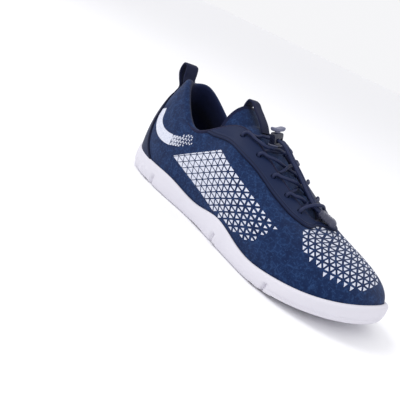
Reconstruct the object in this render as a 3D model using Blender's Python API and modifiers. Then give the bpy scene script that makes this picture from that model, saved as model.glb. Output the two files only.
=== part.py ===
"""A right barefoot shoe as the pieces that a maker puts together.

The cup sole, the insole, the hollow upper with its padded collar, the tongue, the overlays,
the two webbing loops, and the elastic lacing with its cord lock are separate solids.

Everything is in metres and +Z is up. The toe points along +X, the outer side of the foot is -Y
and the inner side is +Y. The floor is z = 0, and the origin lies under the middle of the sole.
"""

import math

import bmesh
import bpy
import numpy as np
from mathutils import Matrix, Vector

# Sizes of the last and of the sole
SOLE_LENGTH = 0.282
SOLE_WIDTH = 0.103
COLLAR_HEIGHT = 0.095
RAND_HEIGHT = 0.018
BED_HEIGHT = 0.0075
TOE_SPRING = 0.012
TOE_FLAT_END = 0.695
TOE_CURVE = 1.9
HEEL_BEVEL = 0.004
HEEL_FLAT_START = 0.082
ARCH_LIFT = 0.003
ARCH_PLACE = 0.43
ARCH_REACH = 0.10
ARCH_ACROSS = (0.02, 0.34)
RAND_WALL = 0.0045
TREAD_EDGE = 0.0040
GROOVE_DEPTH = 0.0014

# Sizes of the upper and of what is laid on it
WALL = 0.0024
COLLAR_PAD = 0.0080
PAD_THINNING = 0.35
OVERLAY = 0.0011
COLLAR_BEAD = 0.0030
THROAT_BEAD = 0.0013
EYELET_BORE = 0.0042
EYELET_INSET = 0.0100
EYESTAY_INSET = 0.0030
INSOLE = 0.0030
TONGUE = 0.0040
TONGUE_OVERLAP = 0.0120
TONGUE_DROP = 0.0006
TONGUE_RISE = 0.0195
TONGUE_HALF_WIDTH = 0.0182
TONGUE_LEAN = 36.0
TONGUE_CROWN = 0.40
TONGUE_SINK = 0.16

# Sizes of the lacing and of the loops
CORD = 0.0027
GAP = 0.0003
OVERLAY_GAP = 0.0004
COUNTER_GAP = 0.0006
CUT = 0.0100
WEBBING = 0.0018
HEEL_LOOP_WIDTH = 0.0150
TAB_WIDTH = 0.0105
LOCK_WIDTH = 0.0098
LOCK_DEPTH = 0.0072
LOCK_HEIGHT = 0.0112
LOCK_HEAD_WIDTH = 0.0134
LOCK_HEAD_HEIGHT = 0.0042
LOCK_STEM = 0.0046
LOCK_STEM_DEPTH = 0.0035
LOCK_LEAN_BACK = 12.0
LOCK_LEAN_OUT = 12.0
CLIP_LENGTH = 0.0165
CLIP_WIDTH = 0.0088
CLIP_HEIGHT = 0.0065

# One row for each station round the foot: heel, outer side, toe, inner side.
# along and across are the sole's outline, as shares of SOLE_LENGTH and SOLE_WIDTH.
# rand is the height of the sole's wall, as a share of RAND_HEIGHT.
# top_along, top_across and top_height are the upper's top edge, as shares of SOLE_LENGTH,
# SOLE_WIDTH and COLLAR_HEIGHT.
# lean is how far the wall leans out at the foot and slope how steeply it meets the top edge,
# in degrees. rise and lie are how far each of them carries, as shares of the wall's span.
RING_COLUMNS = ("along", "across", "rand", "top_along", "top_across", "top_height",
                "lean", "rise", "slope", "lie")
RING = (
    ("heel_back",            0.000, 0.000, 1.12, 0.062, 0.000, 0.980,  8, 0.50, 69, 0.31),
    ("outer_heel_corner",    0.040, -0.245, 1.00, 0.085, -0.140, 1.000,  7, 0.48, 71, 0.30),
    ("outer_heel",           0.170, -0.362, 0.98, 0.158, -0.250, 0.858, 10, 0.40, 74, 0.35),
    ("outer_ankle",          0.298, -0.385, 0.98, 0.246, -0.308, 0.702,  8, 0.39, 72, 0.34),
    ("outer_waist",          0.422, -0.385, 0.80, 0.317, -0.278, 0.750,  8, 0.39, 58, 0.36),
    ("outer_instep",         0.543, -0.437, 1.08, 0.395, -0.182, 0.915,  9, 0.43, 36, 0.30),
    ("outer_ball",           0.664, -0.485, 0.76, 0.507, -0.155, 0.848, 10, 0.39, 29, 0.26),
    ("outer_little_toe",     0.783, -0.505, 0.74, 0.613, -0.130, 0.715, 10, 0.35, 22, 0.28),
    ("outer_toes",           0.893, -0.412, 0.74, 0.688, -0.094, 0.624, 10, 0.32, 19, 0.32),
    ("outer_tip",            0.972, -0.215, 0.80, 0.719, -0.048, 0.580, 10, 0.34, 19, 0.40),
    ("toe_tip",              1.000, 0.060, 0.84, 0.728, 0.000, 0.568,  8, 0.34, 19, 0.42),
    ("inner_tip",            0.976, 0.330, 0.80, 0.719, 0.048, 0.580, 10, 0.34, 19, 0.40),
    ("inner_big_toe",        0.888, 0.478, 0.74, 0.688, 0.094, 0.624, 10, 0.32, 19, 0.32),
    ("inner_joint",          0.770, 0.490, 0.74, 0.613, 0.130, 0.715, 10, 0.35, 22, 0.28),
    ("inner_ball",           0.656, 0.437, 0.76, 0.507, 0.155, 0.848,  9, 0.39, 29, 0.26),
    ("inner_instep",         0.535, 0.350, 1.08, 0.395, 0.182, 0.915,  6, 0.43, 36, 0.30),
    ("inner_waist",          0.417, 0.306, 0.80, 0.317, 0.272, 0.750,  6, 0.39, 58, 0.36),
    ("inner_ankle",          0.294, 0.322, 0.98, 0.246, 0.305, 0.702,  7, 0.39, 72, 0.34),
    ("inner_heel",           0.167, 0.336, 0.98, 0.158, 0.250, 0.858, 10, 0.40, 74, 0.35),
    ("inner_heel_corner",    0.040, 0.245, 1.00, 0.085, 0.140, 1.000,  7, 0.48, 71, 0.30),
)
STATIONS = len(RING)
TOE = STATIONS / 2
COLLAR_CORNER = 5.0

# Where the collar's pad begins, in stations past its corner and as shares of the way up the wall:
# the two ends of its blend along the edge, of its swelling up the wall, and of its thinning at
# the very top
PAD_ALONG = (0.5, 2.2)
PAD_UP = (0.52, 0.80)
PAD_TOP = (0.93, 1.0)

# Stations from the toe between which the tongue drops to clear the throat's edge, and the station
# where it has sunk flat between the throat edges
TONGUE_DROP_STATIONS = (3.4, 4.4)
SUNK_FROM = 6.0

# The sole's wall from the tread up over its lip: how far each ring stands in from the outline,
# as a share of TREAD_EDGE, and how high it is, as a share of the way up the rand.
SOLE_WALL = (
    ("tread", 1.00, 0.00),
    ("tread_corner", 0.42, 0.07),
    ("bulge", 0.00, 0.48),
    ("shoulder", 0.08, 0.84),
    ("lip", 0.36, 1.00),
)
# The lengthwise grid of the cup's inner wall, as shares of the way from the lip to the bed
CUP_WALL = (0.0, 0.5, 1.0)

# How far down the side the eyestay reaches at each station from the toe end of the throat,
# as a share of the way from the foot to the top edge
EYESTAY_EDGE = (
    (0.0, 0.930), (0.5, 0.915), (1.6, 0.765), (2.3, 0.722), (3.1, 0.715),
    (3.8, 0.720), (4.6, 0.700), (5.4, 0.810), (6.0, 0.950),
)
EYELET_STATIONS = (5.32, 6.02, 6.68, 7.34, 8.06)

# Half the heel counter's width in stations, up the back from the rand to its point
COUNTER_EDGE = ((0.0, 2.00), (0.18, 1.55), (0.45, 1.22), (0.75, 1.10), (1.0, 0.70))
COUNTER_TOP = 0.74

# Tread pads, each by its corners: along the sole from the heel as a share of SOLE_LENGTH, and
# across it as a share of SOLE_WIDTH. Pads at the rim run out past it, so that the gaps between
# them notch its edge.
PAD_CORNER = 0.0035
TREAD_PADS = {
    "big_toe": ((0.968, 0.165), (0.860, 0.185), (0.853, 0.430), (0.892, 0.420), (0.950, 0.320)),
    "second_toe": ((0.947, -0.075), (0.845, -0.045), (0.852, 0.105), (0.962, 0.085)),
    "third_toe": ((0.902, -0.280), (0.820, -0.190), (0.836, -0.090), (0.925, -0.125)),
    "fourth_toe": ((0.838, -0.395), (0.788, -0.325), (0.806, -0.240), (0.868, -0.325)),
    "little_toe": ((0.820, -0.470), (0.770, -0.375), (0.748, -0.620), (0.812, -0.620)),
    "outer_forefoot": ((0.722, -0.620), (0.530, -0.620), (0.585, -0.400), (0.656, -0.115),
                       (0.700, -0.010), (0.822, 0.100), (0.778, -0.235)),
    "inner_forefoot": ((0.830, 0.180), (0.747, 0.135), (0.662, 0.012), (0.630, 0.028),
                       (0.572, 0.190), (0.585, 0.620), (0.812, 0.620)),
    "outer_middle": ((0.505, -0.620), (0.455, -0.620), (0.506, -0.326), (0.540, -0.125),
                     (0.628, -0.100)),
    "middle_wedge": ((0.612, -0.040), (0.556, -0.062), (0.560, 0.112)),
    "arch_panel": ((0.486, -0.225), (0.522, -0.060), (0.538, 0.150), (0.428, 0.155),
                   (0.448, -0.060)),
    "outer_heel": ((0.400, -0.620), (0.440, -0.330), (0.425, -0.125), (0.397, 0.166),
                   (0.336, 0.319), (0.255, 0.620), (0.190, 0.620), (0.172, 0.120), (0.190, -0.620)),
    "heel_end": ((0.165, -0.620), (0.145, 0.120), (0.165, 0.620), (-0.100, 0.620),
                 (-0.100, -0.620)),
}
# Grooves that run on from the tread up the side of the sole: station, and height as a share
# of the rand
SIDE_NOTCHES = ((1.05, 0.50), (2.25, 0.62), (5.05, 0.55), (7.05, 0.66), (13.1, 0.60), (15.1, 0.55),
                (17.7, 0.60), (18.9, 0.50))
SIDE_NOTCH = 0.0016

# How finely each piece is cut up
RING_STEPS = 56
ROUND_END_SHARE = 0.30
WALL_STEPS = 9
COUNTER_STEPS = 22
TUBE_STEPS = 10
THROAT_STEPS = 12
LOOP_STEPS = 20
TAIL_STEPS = 13

# How a strand of the lace lies: its spare height over what it crosses, how far on to the next
# eyelet it passes its own throat edge, and where it stops short of the far throat edge, as a
# share of the tongue's half width there
STRAND_CLEAR = 0.0003
STRAND_LEADS = (0.92, 0.50, 0.46, 0.54)
STRAND_END = 0.34
LEAD_STATION = 5.55

# The cord lock stands on the lace between its first and second crossings: station, place across
# the tongue, and height over the tongue's face
LOCK_SPOT = (5.87, 0.455, 0.0042)
LOCK_NECK = 0.0006
LOCK_SADDLE = 0.0014
LOCK_BORE_SPREAD = 0.0021
LOCK_BORE_HEIGHT = 0.0052
CLIP_RIBS = 4
CLIP_SLOT = 0.0009

# The loops' lines, as steps along X and Z: from the top edge at the heel, and from the tongue's
# top, to each point
HEEL_LOOP_ARC = ((-0.0125, -0.0030), (-0.0156, 0.0020), (-0.0158, 0.0070), (-0.0136, 0.0118),
                 (-0.0098, 0.0112), (-0.0078, 0.0060), (-0.0070, 0.0005))
# How far below the top edge the loop's outer leg ends and leaves the heel, and its inner leg
# meets the heel and ends
HEEL_LOOP_LEGS = (0.0200, 0.0120, 0.0070, 0.0150)
TAB_ARC = ((-0.0028, -0.0030), (-0.0024, 0.0018), (-0.0006, 0.0052), (0.0028, 0.0050),
           (0.0084, 0.0016), (0.0160, -0.0030), (0.0230, -0.0078))
TAB_STATION = 5.42

# The tails' middle line from the lock to the end clip. It starts in front of the lock. Each row
# then gives a station, a place across the tongue, and a height over the tongue's face.
TAIL_SPREAD = 0.0017
TAIL_START = 0.0056
TAIL_ROUTE = (
    (6.08, 0.430, 0.0124), (6.30, 0.450, 0.0116), (6.56, 0.475, 0.0104), (6.83, 0.495, 0.0098),
    (7.15, 0.500, 0.0090), (7.51, 0.495, 0.0081), (7.89, 0.500, 0.0074), (8.46, 0.530, 0.0075),
)
# From the tails' end to the clip, and which way the clip points
CLIP_STEP = (0.0020, 0.0010, -0.0008)
CLIP_AIM = (0.79, 0.55, -0.27)


def closed_spline(values, at):
    """A closed smooth curve through the values, which stand at 0, 1, 2 and so on."""
    values = np.asarray(values, float)
    count = len(values)
    system = 4 * np.eye(count) + np.roll(np.eye(count), 1, 0) + np.roll(np.eye(count), -1, 0)
    pulls = np.linalg.solve(system, 3 * (np.roll(values, -1) - np.roll(values, 1)))
    at = np.asarray(at, float) % count
    low = np.floor(at).astype(int) % count
    high = (low + 1) % count
    s = at - np.floor(at)
    return ((2 * s**3 - 3 * s**2 + 1) * values[low] + (s**3 - 2 * s**2 + s) * pulls[low]
            + (3 * s**2 - 2 * s**3) * values[high] + (s**3 - s**2) * pulls[high])


def smooth_steps(rows, at):
    """A curve through (place, value) rows that is level at neither end and never overshoots much."""
    places = np.array([row[0] for row in rows], float)
    values = np.array([row[1] for row in rows], float)
    pulls = np.gradient(values, places)
    at = np.clip(np.asarray(at, float), places[0], places[-1])
    low = np.clip(np.searchsorted(places, at, side="right") - 1, 0, len(places) - 2)
    width = places[low + 1] - places[low]
    s = (at - places[low]) / width
    return ((2 * s**3 - 3 * s**2 + 1) * values[low] + (s**3 - 2 * s**2 + s) * pulls[low] * width
            + (3 * s**2 - 2 * s**3) * values[low + 1] + (s**3 - s**2) * pulls[low + 1] * width)


def ease(value, start, end):
    """0 before start, 1 after end, and smooth between."""
    share = np.clip((np.asarray(value, float) - start) / (end - start), 0, 1)
    return share * share * (3 - 2 * share)


def column(name, at):
    place = RING_COLUMNS.index(name) + 1
    return closed_spline([row[place] for row in RING], at)


FINE = np.linspace(0, STATIONS, 400, endpoint=False)
MIDDLE_ALONG = (column("along", FINE).max() + column("along", FINE).min()) / 2
MIDDLE_ACROSS = (column("across", FINE).max() + column("across", FINE).min()) / 2


def from_shares(along, across):
    """Plan position of a point given as shares of the sole's length and width."""
    return SOLE_LENGTH * (along - MIDDLE_ALONG), SOLE_WIDTH * (across - MIDDLE_ACROSS)


def outline(at):
    return from_shares(column("along", at), column("across", at))


def top_edge(at):
    x, y = from_shares(column("top_along", at), column("top_across", at))
    return x, y, COLLAR_HEIGHT * column("top_height", at)


def outward(curve, at):
    """The plan direction that points out of a closed curve."""
    step = 0.001
    ahead = curve(at + step)
    behind = curve(at - step)
    run_x = ahead[0] - behind[0]
    run_y = ahead[1] - behind[1]
    size = np.hypot(run_x, run_y)
    return run_y / size, -run_x / size


def underside(x, y):
    """Height of the tread: flat at heel and ball, sprung at the toe, lifted at heel edge and arch."""
    along = x / SOLE_LENGTH + MIDDLE_ALONG
    across = y / SOLE_WIDTH + MIDDLE_ACROSS
    toe = np.clip((along - TOE_FLAT_END) / (1 - TOE_FLAT_END), 0, 1) ** TOE_CURVE
    heel = np.clip((HEEL_FLAT_START - along) / HEEL_FLAT_START, 0, 1) ** 2
    arch = np.exp(-(((along - ARCH_PLACE) / ARCH_REACH) ** 2)) * ease(across, *ARCH_ACROSS)
    return TOE_SPRING * toe + HEEL_BEVEL * heel + ARCH_LIFT * arch


def spring(x):
    """Height of the bed's own curve, which has no arch lift."""
    return underside(x, from_shares(0, -0.5)[1] + 0 * x)


def foot_line(at):
    """Plan position of the upper's lower edge, inside the rand."""
    x, y = outline(at)
    out_x, out_y = outward(outline, at)
    return x - out_x * RAND_WALL, y - out_y * RAND_WALL


def wall_curve(at):
    """The four control points of the upper's outer skin at a station, foot to top edge."""
    at = np.asarray(at, float)
    out_x, out_y = outward(outline, at)
    foot_x, foot_y = foot_line(at)
    foot = np.stack([foot_x, foot_y, BED_HEIGHT + GAP + spring(foot_x)], -1)
    top = np.stack(top_edge(at), -1)
    over_x, over_y = outward(top_edge, at)
    lean = np.radians(column("lean", at))
    slope = np.radians(column("slope", at))
    span = np.linalg.norm(top - foot, axis=-1)
    up = np.stack([out_x * np.sin(lean), out_y * np.sin(lean), np.cos(lean)], -1)
    down = np.stack([over_x * np.cos(slope), over_y * np.cos(slope), -np.sin(slope)], -1)
    low = foot + up * (column("rise", at) * span)[..., None]
    high = top + down * (column("lie", at) * span)[..., None]
    return foot, low, high, top


def skin(at, share):
    """A point of the upper's outer skin, at a station and a share of the way up."""
    at, share = np.broadcast_arrays(np.asarray(at, float), np.asarray(share, float))
    foot, low, high, top = wall_curve(at)
    s = share[..., None]
    return ((1 - s) ** 3 * foot + 3 * (1 - s) ** 2 * s * low + 3 * (1 - s) * s**2 * high
            + s**3 * top)


def skin_normal(at, share):
    step = 0.002
    at, share = np.broadcast_arrays(np.asarray(at, float), np.asarray(share, float))
    round_foot = skin(at + step, share) - skin(at - step, share)
    low = np.clip(share - step, 0, 1)
    high = np.clip(share + step, 0, 1)
    up_wall = skin(at, high) - skin(at, low)
    normal = np.cross(round_foot, up_wall)
    return normal / np.linalg.norm(normal, axis=-1, keepdims=True)


def off_skin(at, share, distance):
    """A point at a distance out from the skin, or in where the distance is negative."""
    distance = np.asarray(distance, float)
    return skin(at, share) + skin_normal(at, share) * distance[..., None]


SHARES = np.linspace(0, 1, 81)


def share_below_top(at, distance):
    """The share that lies a distance below the top edge, along the skin."""
    at, distance = np.broadcast_arrays(np.asarray(at, float), np.asarray(distance, float))
    found = np.empty(at.size)
    for i, (station, length) in enumerate(zip(at.ravel(), distance.ravel())):
        line = skin(np.full(len(SHARES), station), SHARES)
        steps = np.linalg.norm(np.diff(line, axis=0), axis=1)
        below = np.concatenate([np.cumsum(steps[::-1])[::-1], [0.0]])
        found[i] = np.interp(length, below[::-1], SHARES[::-1])
    return found.reshape(at.shape)


def share_at_height(at, height):
    """The share at which the skin reaches a height."""
    at, height = np.broadcast_arrays(np.asarray(at, float), np.asarray(height, float))
    found = np.empty(at.size)
    for i, (station, level) in enumerate(zip(at.ravel(), height.ravel())):
        line = skin(np.full(len(SHARES), station), SHARES)[:, 2]
        found[i] = np.interp(level, line[: np.argmax(line) + 1], SHARES[: np.argmax(line) + 1])
    return found.reshape(at.shape)


def from_toe(at):
    """Stations between a place and the toe, on either side."""
    return np.abs((np.asarray(at, float) % STATIONS) - TOE)


def collar_share(at):
    """1 round the padded collar, 0 along the throat."""
    start, full = PAD_ALONG
    return ease(from_toe(at), TOE - COLLAR_CORNER + start, TOE - COLLAR_CORNER + full)


def bead_radius(at):
    return THROAT_BEAD + (COLLAR_BEAD - THROAT_BEAD) * collar_share(at)


def upper_wall(at, share):
    """Thickness of the upper: a plain wall, with a pad round the collar."""
    padded = collar_share(at) * ease(share, *PAD_UP) * (1 - PAD_THINNING * ease(share, *PAD_TOP))
    return WALL + (COLLAR_PAD - WALL) * padded


def rand_top(at):
    x, y = outline(at)
    return spring(x) + RAND_HEIGHT * column("rand", at)


# Tools for making meshes


def material(name, colour, roughness, metallic=0.0):
    made = bpy.data.materials.new(name)
    made.use_nodes = True
    shader = made.node_tree.nodes["Principled BSDF"]
    shader.inputs["Base Color"].default_value = (*colour, 1.0)
    shader.inputs["Roughness"].default_value = roughness
    shader.inputs["Metallic"].default_value = metallic
    return made


def collection(name):
    made = bpy.data.collections.new(name)
    bpy.context.scene.collection.children.link(made)
    return made


def ring_station(turn):
    """Station at a share of the way round, with the steps closer at heel and toe."""
    return STATIONS * (turn - ROUND_END_SHARE * np.sin(4 * math.pi * turn) / (4 * math.pi))


def piece(name, mesh, group, finish):
    """An object in a collection, shaded smooth but for its sharp edges."""
    made = bpy.data.objects.new(name, mesh)
    group.objects.link(made)
    mesh.materials.append(finish)
    mesh.shade_smooth()
    mesh.set_sharp_from_angle(angle=math.radians(40))
    return made


def cutter(name, mesh):
    made = bpy.data.objects.new(name, mesh)
    CUTTERS.objects.link(made)
    made.hide_render = True
    made.display_type = "WIRE"
    return made


def add_sheet(mesh, columns, rows, place):
    """Adds a grid whose points go where place(u, v) says, with u and v from 0 to 1."""
    grid = bmesh.new()
    bmesh.ops.create_grid(grid, x_segments=columns, y_segments=rows, size=0.5)
    flat = np.array([vertex.co for vertex in grid.verts], float)
    placed = place(flat[:, 0] + 0.5, flat[:, 1] + 0.5)
    for vertex, point in zip(grid.verts, placed):
        vertex.co = point
    part = bpy.data.meshes.new("sheet")
    grid.to_mesh(part)
    grid.free()
    mesh.from_mesh(part)
    bpy.data.meshes.remove(part)


def finish_mesh(mesh, name, weld=0.00002, outwards=True):
    """Welds a bmesh, drops faces that the weld flattened, and turns it into a mesh."""
    bmesh.ops.remove_doubles(mesh, verts=mesh.verts, dist=weld)
    bmesh.ops.dissolve_degenerate(mesh, edges=mesh.edges, dist=weld / 10)
    if outwards:
        bmesh.ops.recalc_face_normals(mesh, faces=mesh.faces)
    made = bpy.data.meshes.new(name)
    mesh.to_mesh(made)
    mesh.free()
    return made


def shell(made, thickness, offset):
    """A wall on an open sheet: offset 1 builds it outwards and -1 inwards."""
    solid = made.modifiers.new("wall", "SOLIDIFY")
    solid.thickness = thickness
    solid.offset = offset
    return solid


def boolean(made, other, operation):
    change = made.modifiers.new(other.name, "BOOLEAN")
    change.operation = operation
    change.solver = "EXACT"
    change.object = other
    return change


def real_mesh(made):
    """The object's mesh with its modifiers or its bevel worked in, welded."""
    bpy.context.view_layer.update()
    graph = bpy.context.evaluated_depsgraph_get()
    found = bpy.data.meshes.new_from_object(made.evaluated_get(graph))
    welded = bmesh.new()
    welded.from_mesh(found)
    bmesh.ops.remove_doubles(welded, verts=welded.verts, dist=0.000001)
    bmesh.ops.recalc_face_normals(welded, faces=welded.faces)
    welded.to_mesh(found)
    welded.free()
    return found


def smooth_route(points, count):
    """Evenly spaced points on a smooth open curve through the given ones."""
    points = np.asarray(points, float)
    chords = np.linalg.norm(np.diff(points, axis=0), axis=1)
    places = np.concatenate([[0.0], np.cumsum(chords)])
    at = np.linspace(0, places[-1], count)
    lines = [smooth_steps(list(zip(places, points[:, axis])), at) for axis in range(3)]
    return np.stack(lines, -1)


def tube_curve(name, points, radius, closed=False, radii=None):
    data = bpy.data.curves.new(name, "CURVE")
    data.dimensions = "3D"
    data.bevel_depth = radius
    data.bevel_resolution = 2
    data.use_fill_caps = not closed
    line = data.splines.new("POLY")
    line.points.add(len(points) - 1)
    line.use_cyclic_u = closed
    for i, point in enumerate(points):
        line.points[i].co = (*point, 1.0)
        line.points[i].radius = 1.0 if radii is None else radii[i]
    return bpy.data.objects.new(name, data)


def tube_mesh(name, points, radius):
    """A tube as a closed mesh, for joining or cutting."""
    curve = tube_curve(name + "_line", points, radius)
    bpy.context.scene.collection.objects.link(curve)
    mesh = real_mesh(curve)
    mesh.name = name
    bpy.data.objects.remove(curve)
    return mesh


def rounded(corners, radius, steps=1):
    """A closed outline with its corners rounded, as plan points."""
    corners = [Vector(corner) for corner in corners]
    found = []
    for i, corner in enumerate(corners):
        before = corners[i - 1] - corner
        after = corners[(i + 1) % len(corners)] - corner
        room = min(radius, before.length * 0.45, after.length * 0.45)
        start = corner + before.normalized() * room
        end = corner + after.normalized() * room
        for step in range(steps + 1):
            share = step / steps
            found.append(start * (1 - share) ** 2 + corner * 2 * share * (1 - share)
                         + end * share**2)
    return found


def prism(mesh, points, low, high):
    """Adds an upright prism on a plan outline."""
    ring = bmesh.ops.create_circle(mesh, segments=len(points), cap_ends=True, radius=1)["verts"]
    for vertex, point in zip(ring, points):
        vertex.co = (point[0], point[1], low)
    face = ring[0].link_faces[0]
    risen = bmesh.ops.extrude_face_region(mesh, geom=[face])["geom"]
    top = [item for item in risen if isinstance(item, bmesh.types.BMVert)]
    bmesh.ops.translate(mesh, verts=top, vec=(0, 0, high - low))


def ribbon(name, line, width, thickness, group, finish):
    """A strap along a line in the plane y = 0, as wide as it says, with its wall to one side."""
    sheet = bmesh.new()
    line = np.asarray(line, float)
    count = len(line) - 1

    def place(u, v):
        at = np.rint(u * count).astype(int)
        return np.stack([line[at, 0], (v - 0.5) * width, line[at, 1]], -1)

    add_sheet(sheet, count, 2, place)
    made = piece(name, finish_mesh(sheet, name, outwards=False), group, finish)
    shell(made, thickness, 0.0)
    return made


# Pieces


def make_outsole():
    """The cup sole: tread, side wall, lip, the cup that holds the upper, and the bed."""
    body = bmesh.new()
    insets = np.array([row[1] for row in SOLE_WALL]) * TREAD_EDGE
    heights = np.array([row[2] for row in SOLE_WALL])

    def wall(u, v):
        at = ring_station(u)
        row = np.rint(v * (len(SOLE_WALL) - 1)).astype(int)
        x, y = outline(at)
        out_x, out_y = outward(outline, at)
        x = x - out_x * insets[row]
        y = y - out_y * insets[row]
        low = underside(x, y)
        return np.stack([x, y, low + (rand_top(at) - low) * heights[row]], -1)

    def cup(u, v):
        at = ring_station(u)
        row = np.rint(v * (len(CUP_WALL) - 1)).astype(int)
        down = np.array(CUP_WALL)[row]
        top = rand_top(at)
        bed = BED_HEIGHT + spring(foot_line(at)[0])
        level = top + (bed - top) * down
        line = off_skin(at, share_at_height(at, level), np.full(at.shape, GAP))
        line[:, 2] = level
        return line

    def lip(u, v):
        lip_line = wall(u, np.ones_like(u))
        cup_line = cup(u, np.zeros_like(u))
        return lip_line + (cup_line - lip_line) * v[:, None]

    def across(edge):
        def place(u, v):
            near = edge(u / 2)
            far = edge(1 - u / 2)
            return near + (far - near) * v[:, None]

        return place

    def tread(u, v):
        flat = across(lambda turn: wall(turn, np.zeros_like(turn)))(u, v)
        flat[:, 2] = underside(flat[:, 0], flat[:, 1])
        return flat

    add_sheet(body, RING_STEPS, len(SOLE_WALL) - 1, wall)
    add_sheet(body, RING_STEPS, 1, lip)
    add_sheet(body, RING_STEPS, len(CUP_WALL) - 1, cup)
    add_sheet(body, RING_STEPS // 2, 4, tread)
    add_sheet(body, RING_STEPS // 2, 1, across(lambda turn: cup(turn, np.ones_like(turn))))
    sole = piece("outsole", finish_mesh(body, "outsole"), SHOE, WHITE_RUBBER)
    boolean(sole, make_grooves(), "DIFFERENCE")
    boolean(sole, make_notches(), "DIFFERENCE")
    return sole


def make_grooves():
    """What is cut from under the sole: a slab as deep as the grooves, less every tread pad."""
    slab = bmesh.new()
    reach = 1.2

    def top(u, v):
        x, y = from_shares(0.5 + (u - 0.5) * reach, (v - 0.5) * reach)
        return np.stack([x, y, underside(x, y) + GROOVE_DEPTH], -1)

    add_sheet(slab, 40, 8, top)
    mesh = finish_mesh(slab, "groove_slab", outwards=False)
    grooves = cutter("groove_slab", mesh)
    shell(grooves, CUT, -1)
    pads = bmesh.new()
    for corners in TREAD_PADS.values():
        plan = [from_shares(*corner) for corner in corners]
        prism(pads, rounded(plan, PAD_CORNER), -2 * CUT, TOE_SPRING + CUT)
    boolean(grooves, cutter("tread_pads", finish_mesh(pads, "tread_pads")), "DIFFERENCE")
    return grooves


def make_notches():
    """Short upright grooves in the side of the sole, where tread grooves run up it."""
    notches = bmesh.new()
    for station, height in SIDE_NOTCHES:
        at = np.array([station])
        x, y = outline(at)
        low = underside(x, y)[0]
        top = low + (rand_top(at)[0] - low) * height
        start = Vector((x[0], y[0], low - CUT))
        out_x, out_y = outward(outline, at)
        lean = Matrix.Rotation(math.radians(12), 4, Vector((out_x[0], out_y[0], 0)))
        length = top - start.z
        place = Matrix.Translation(Vector((x[0], y[0], top))) @ lean
        place = place @ Matrix.Translation((0, 0, -length / 2))
        bmesh.ops.create_cone(notches, cap_ends=True, segments=8, radius1=SIDE_NOTCH,
                              radius2=SIDE_NOTCH * 0.5, depth=length, matrix=place)
    return cutter("side_notches", finish_mesh(notches, "side_notches"))


def make_insole():
    """The footbed inside the upper."""
    body = bmesh.new()

    def edge(turn, up):
        at = ring_station(turn)
        x, y = outline(at)
        out_x, out_y = outward(outline, at)
        inset = RAND_WALL + WALL + 2 * GAP
        x = x - out_x * inset
        y = y - out_y * inset
        return np.stack([x, y, BED_HEIGHT + GAP + spring(x) + INSOLE * up], -1)

    def rim(u, v):
        return edge(u, v)

    def level(up):
        def place(u, v):
            near = edge(u / 2, up)
            far = edge(1 - u / 2, up)
            return near + (far - near) * v[:, None]

        return place

    add_sheet(body, RING_STEPS, 1, rim)
    add_sheet(body, RING_STEPS // 2, 1, level(0.0))
    add_sheet(body, RING_STEPS // 2, 1, level(1.0))
    return piece("insole", finish_mesh(body, "insole"), SHOE, DARK_CLOTH)


def make_upper():
    """The hollow upper, open at the collar, down the throat and underneath."""
    body = bmesh.new()

    def place(u, v):
        at = ring_station(u)
        top = share_below_top(at, 2 * bead_radius(at) + 4 * GAP)
        return skin(at, v * top)

    add_sheet(body, RING_STEPS, WALL_STEPS, place)
    upper = piece("upper", finish_mesh(body, "upper", outwards=False), SHOE, NAVY_KNIT)
    pad = upper.vertex_groups.new(name="pad")
    order = bmesh.new()
    bmesh.ops.create_grid(order, x_segments=RING_STEPS, y_segments=WALL_STEPS, size=0.5)
    grid = np.array([vertex.co for vertex in order.verts], float) + 0.5
    order.free()
    skin_points = place(grid[:, 0], grid[:, 1])
    walls = upper_wall(ring_station(grid[:, 0]), grid[:, 1])
    for vertex in upper.data.vertices:
        nearest = np.argmin(np.linalg.norm(skin_points - np.array(vertex.co), axis=1))
        weight = (walls[nearest] - WALL) / (COLLAR_PAD - WALL)
        pad.add([vertex.index], float(weight), "REPLACE")
    wall = shell(upper, COLLAR_PAD, -1)
    wall.vertex_group = "pad"
    wall.thickness_vertex_group = WALL / COLLAR_PAD
    boolean(upper, PUNCHES, "DIFFERENCE")
    return upper


def make_piping():
    """The rolled edge that runs round the collar and down both sides of the throat."""
    at = ring_station(np.arange(RING_STEPS) / RING_STEPS)
    radius = bead_radius(at)
    wall = upper_wall(at, np.ones_like(at))
    line = off_skin(at, share_below_top(at, radius), -wall / 2)
    name = "collar_piping"
    made = tube_curve(name, line, COLLAR_BEAD, True, radius / COLLAR_BEAD)
    SHOE.objects.link(made)
    made.data.materials.append(DARK_CLOTH)
    return made


def eyestay_low(at):
    return smooth_steps(EYESTAY_EDGE, from_toe(at))


def make_eyestay():
    """The smooth overlay round the throat, which carries the eyelets."""
    body = bmesh.new()
    reach = EYESTAY_EDGE[-1][0]

    def place(u, v):
        at = TOE - reach + 2 * reach * u
        low = eyestay_low(at)
        top = share_below_top(at, np.full(at.shape, EYESTAY_INSET))
        return off_skin(at, low + (top - low) * v, np.full(at.shape, OVERLAY_GAP))

    add_sheet(body, 38, 3, place)
    made = piece("eyestay", finish_mesh(body, "eyestay", outwards=False), SHOE, SMOOTH_OVERLAY)
    shell(made, OVERLAY, 1)
    boolean(made, PUNCHES, "DIFFERENCE")
    return made


def make_counter():
    """The smooth overlay up the back of the heel."""
    body = bmesh.new()

    def place(u, v):
        reach = smooth_steps(COUNTER_EDGE, v)
        at = (2 * u - 1) * reach
        low = share_at_height(at, rand_top(at) + 2 * GAP)
        return off_skin(at, low + (COUNTER_TOP - low) * v, np.full(at.shape, COUNTER_GAP))

    add_sheet(body, COUNTER_STEPS, 7, place)
    made = piece("heel_counter", finish_mesh(body, "heel_counter", outwards=False), SHOE,
                 SMOOTH_OVERLAY)
    shell(made, OVERLAY, 1)
    return made


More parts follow.
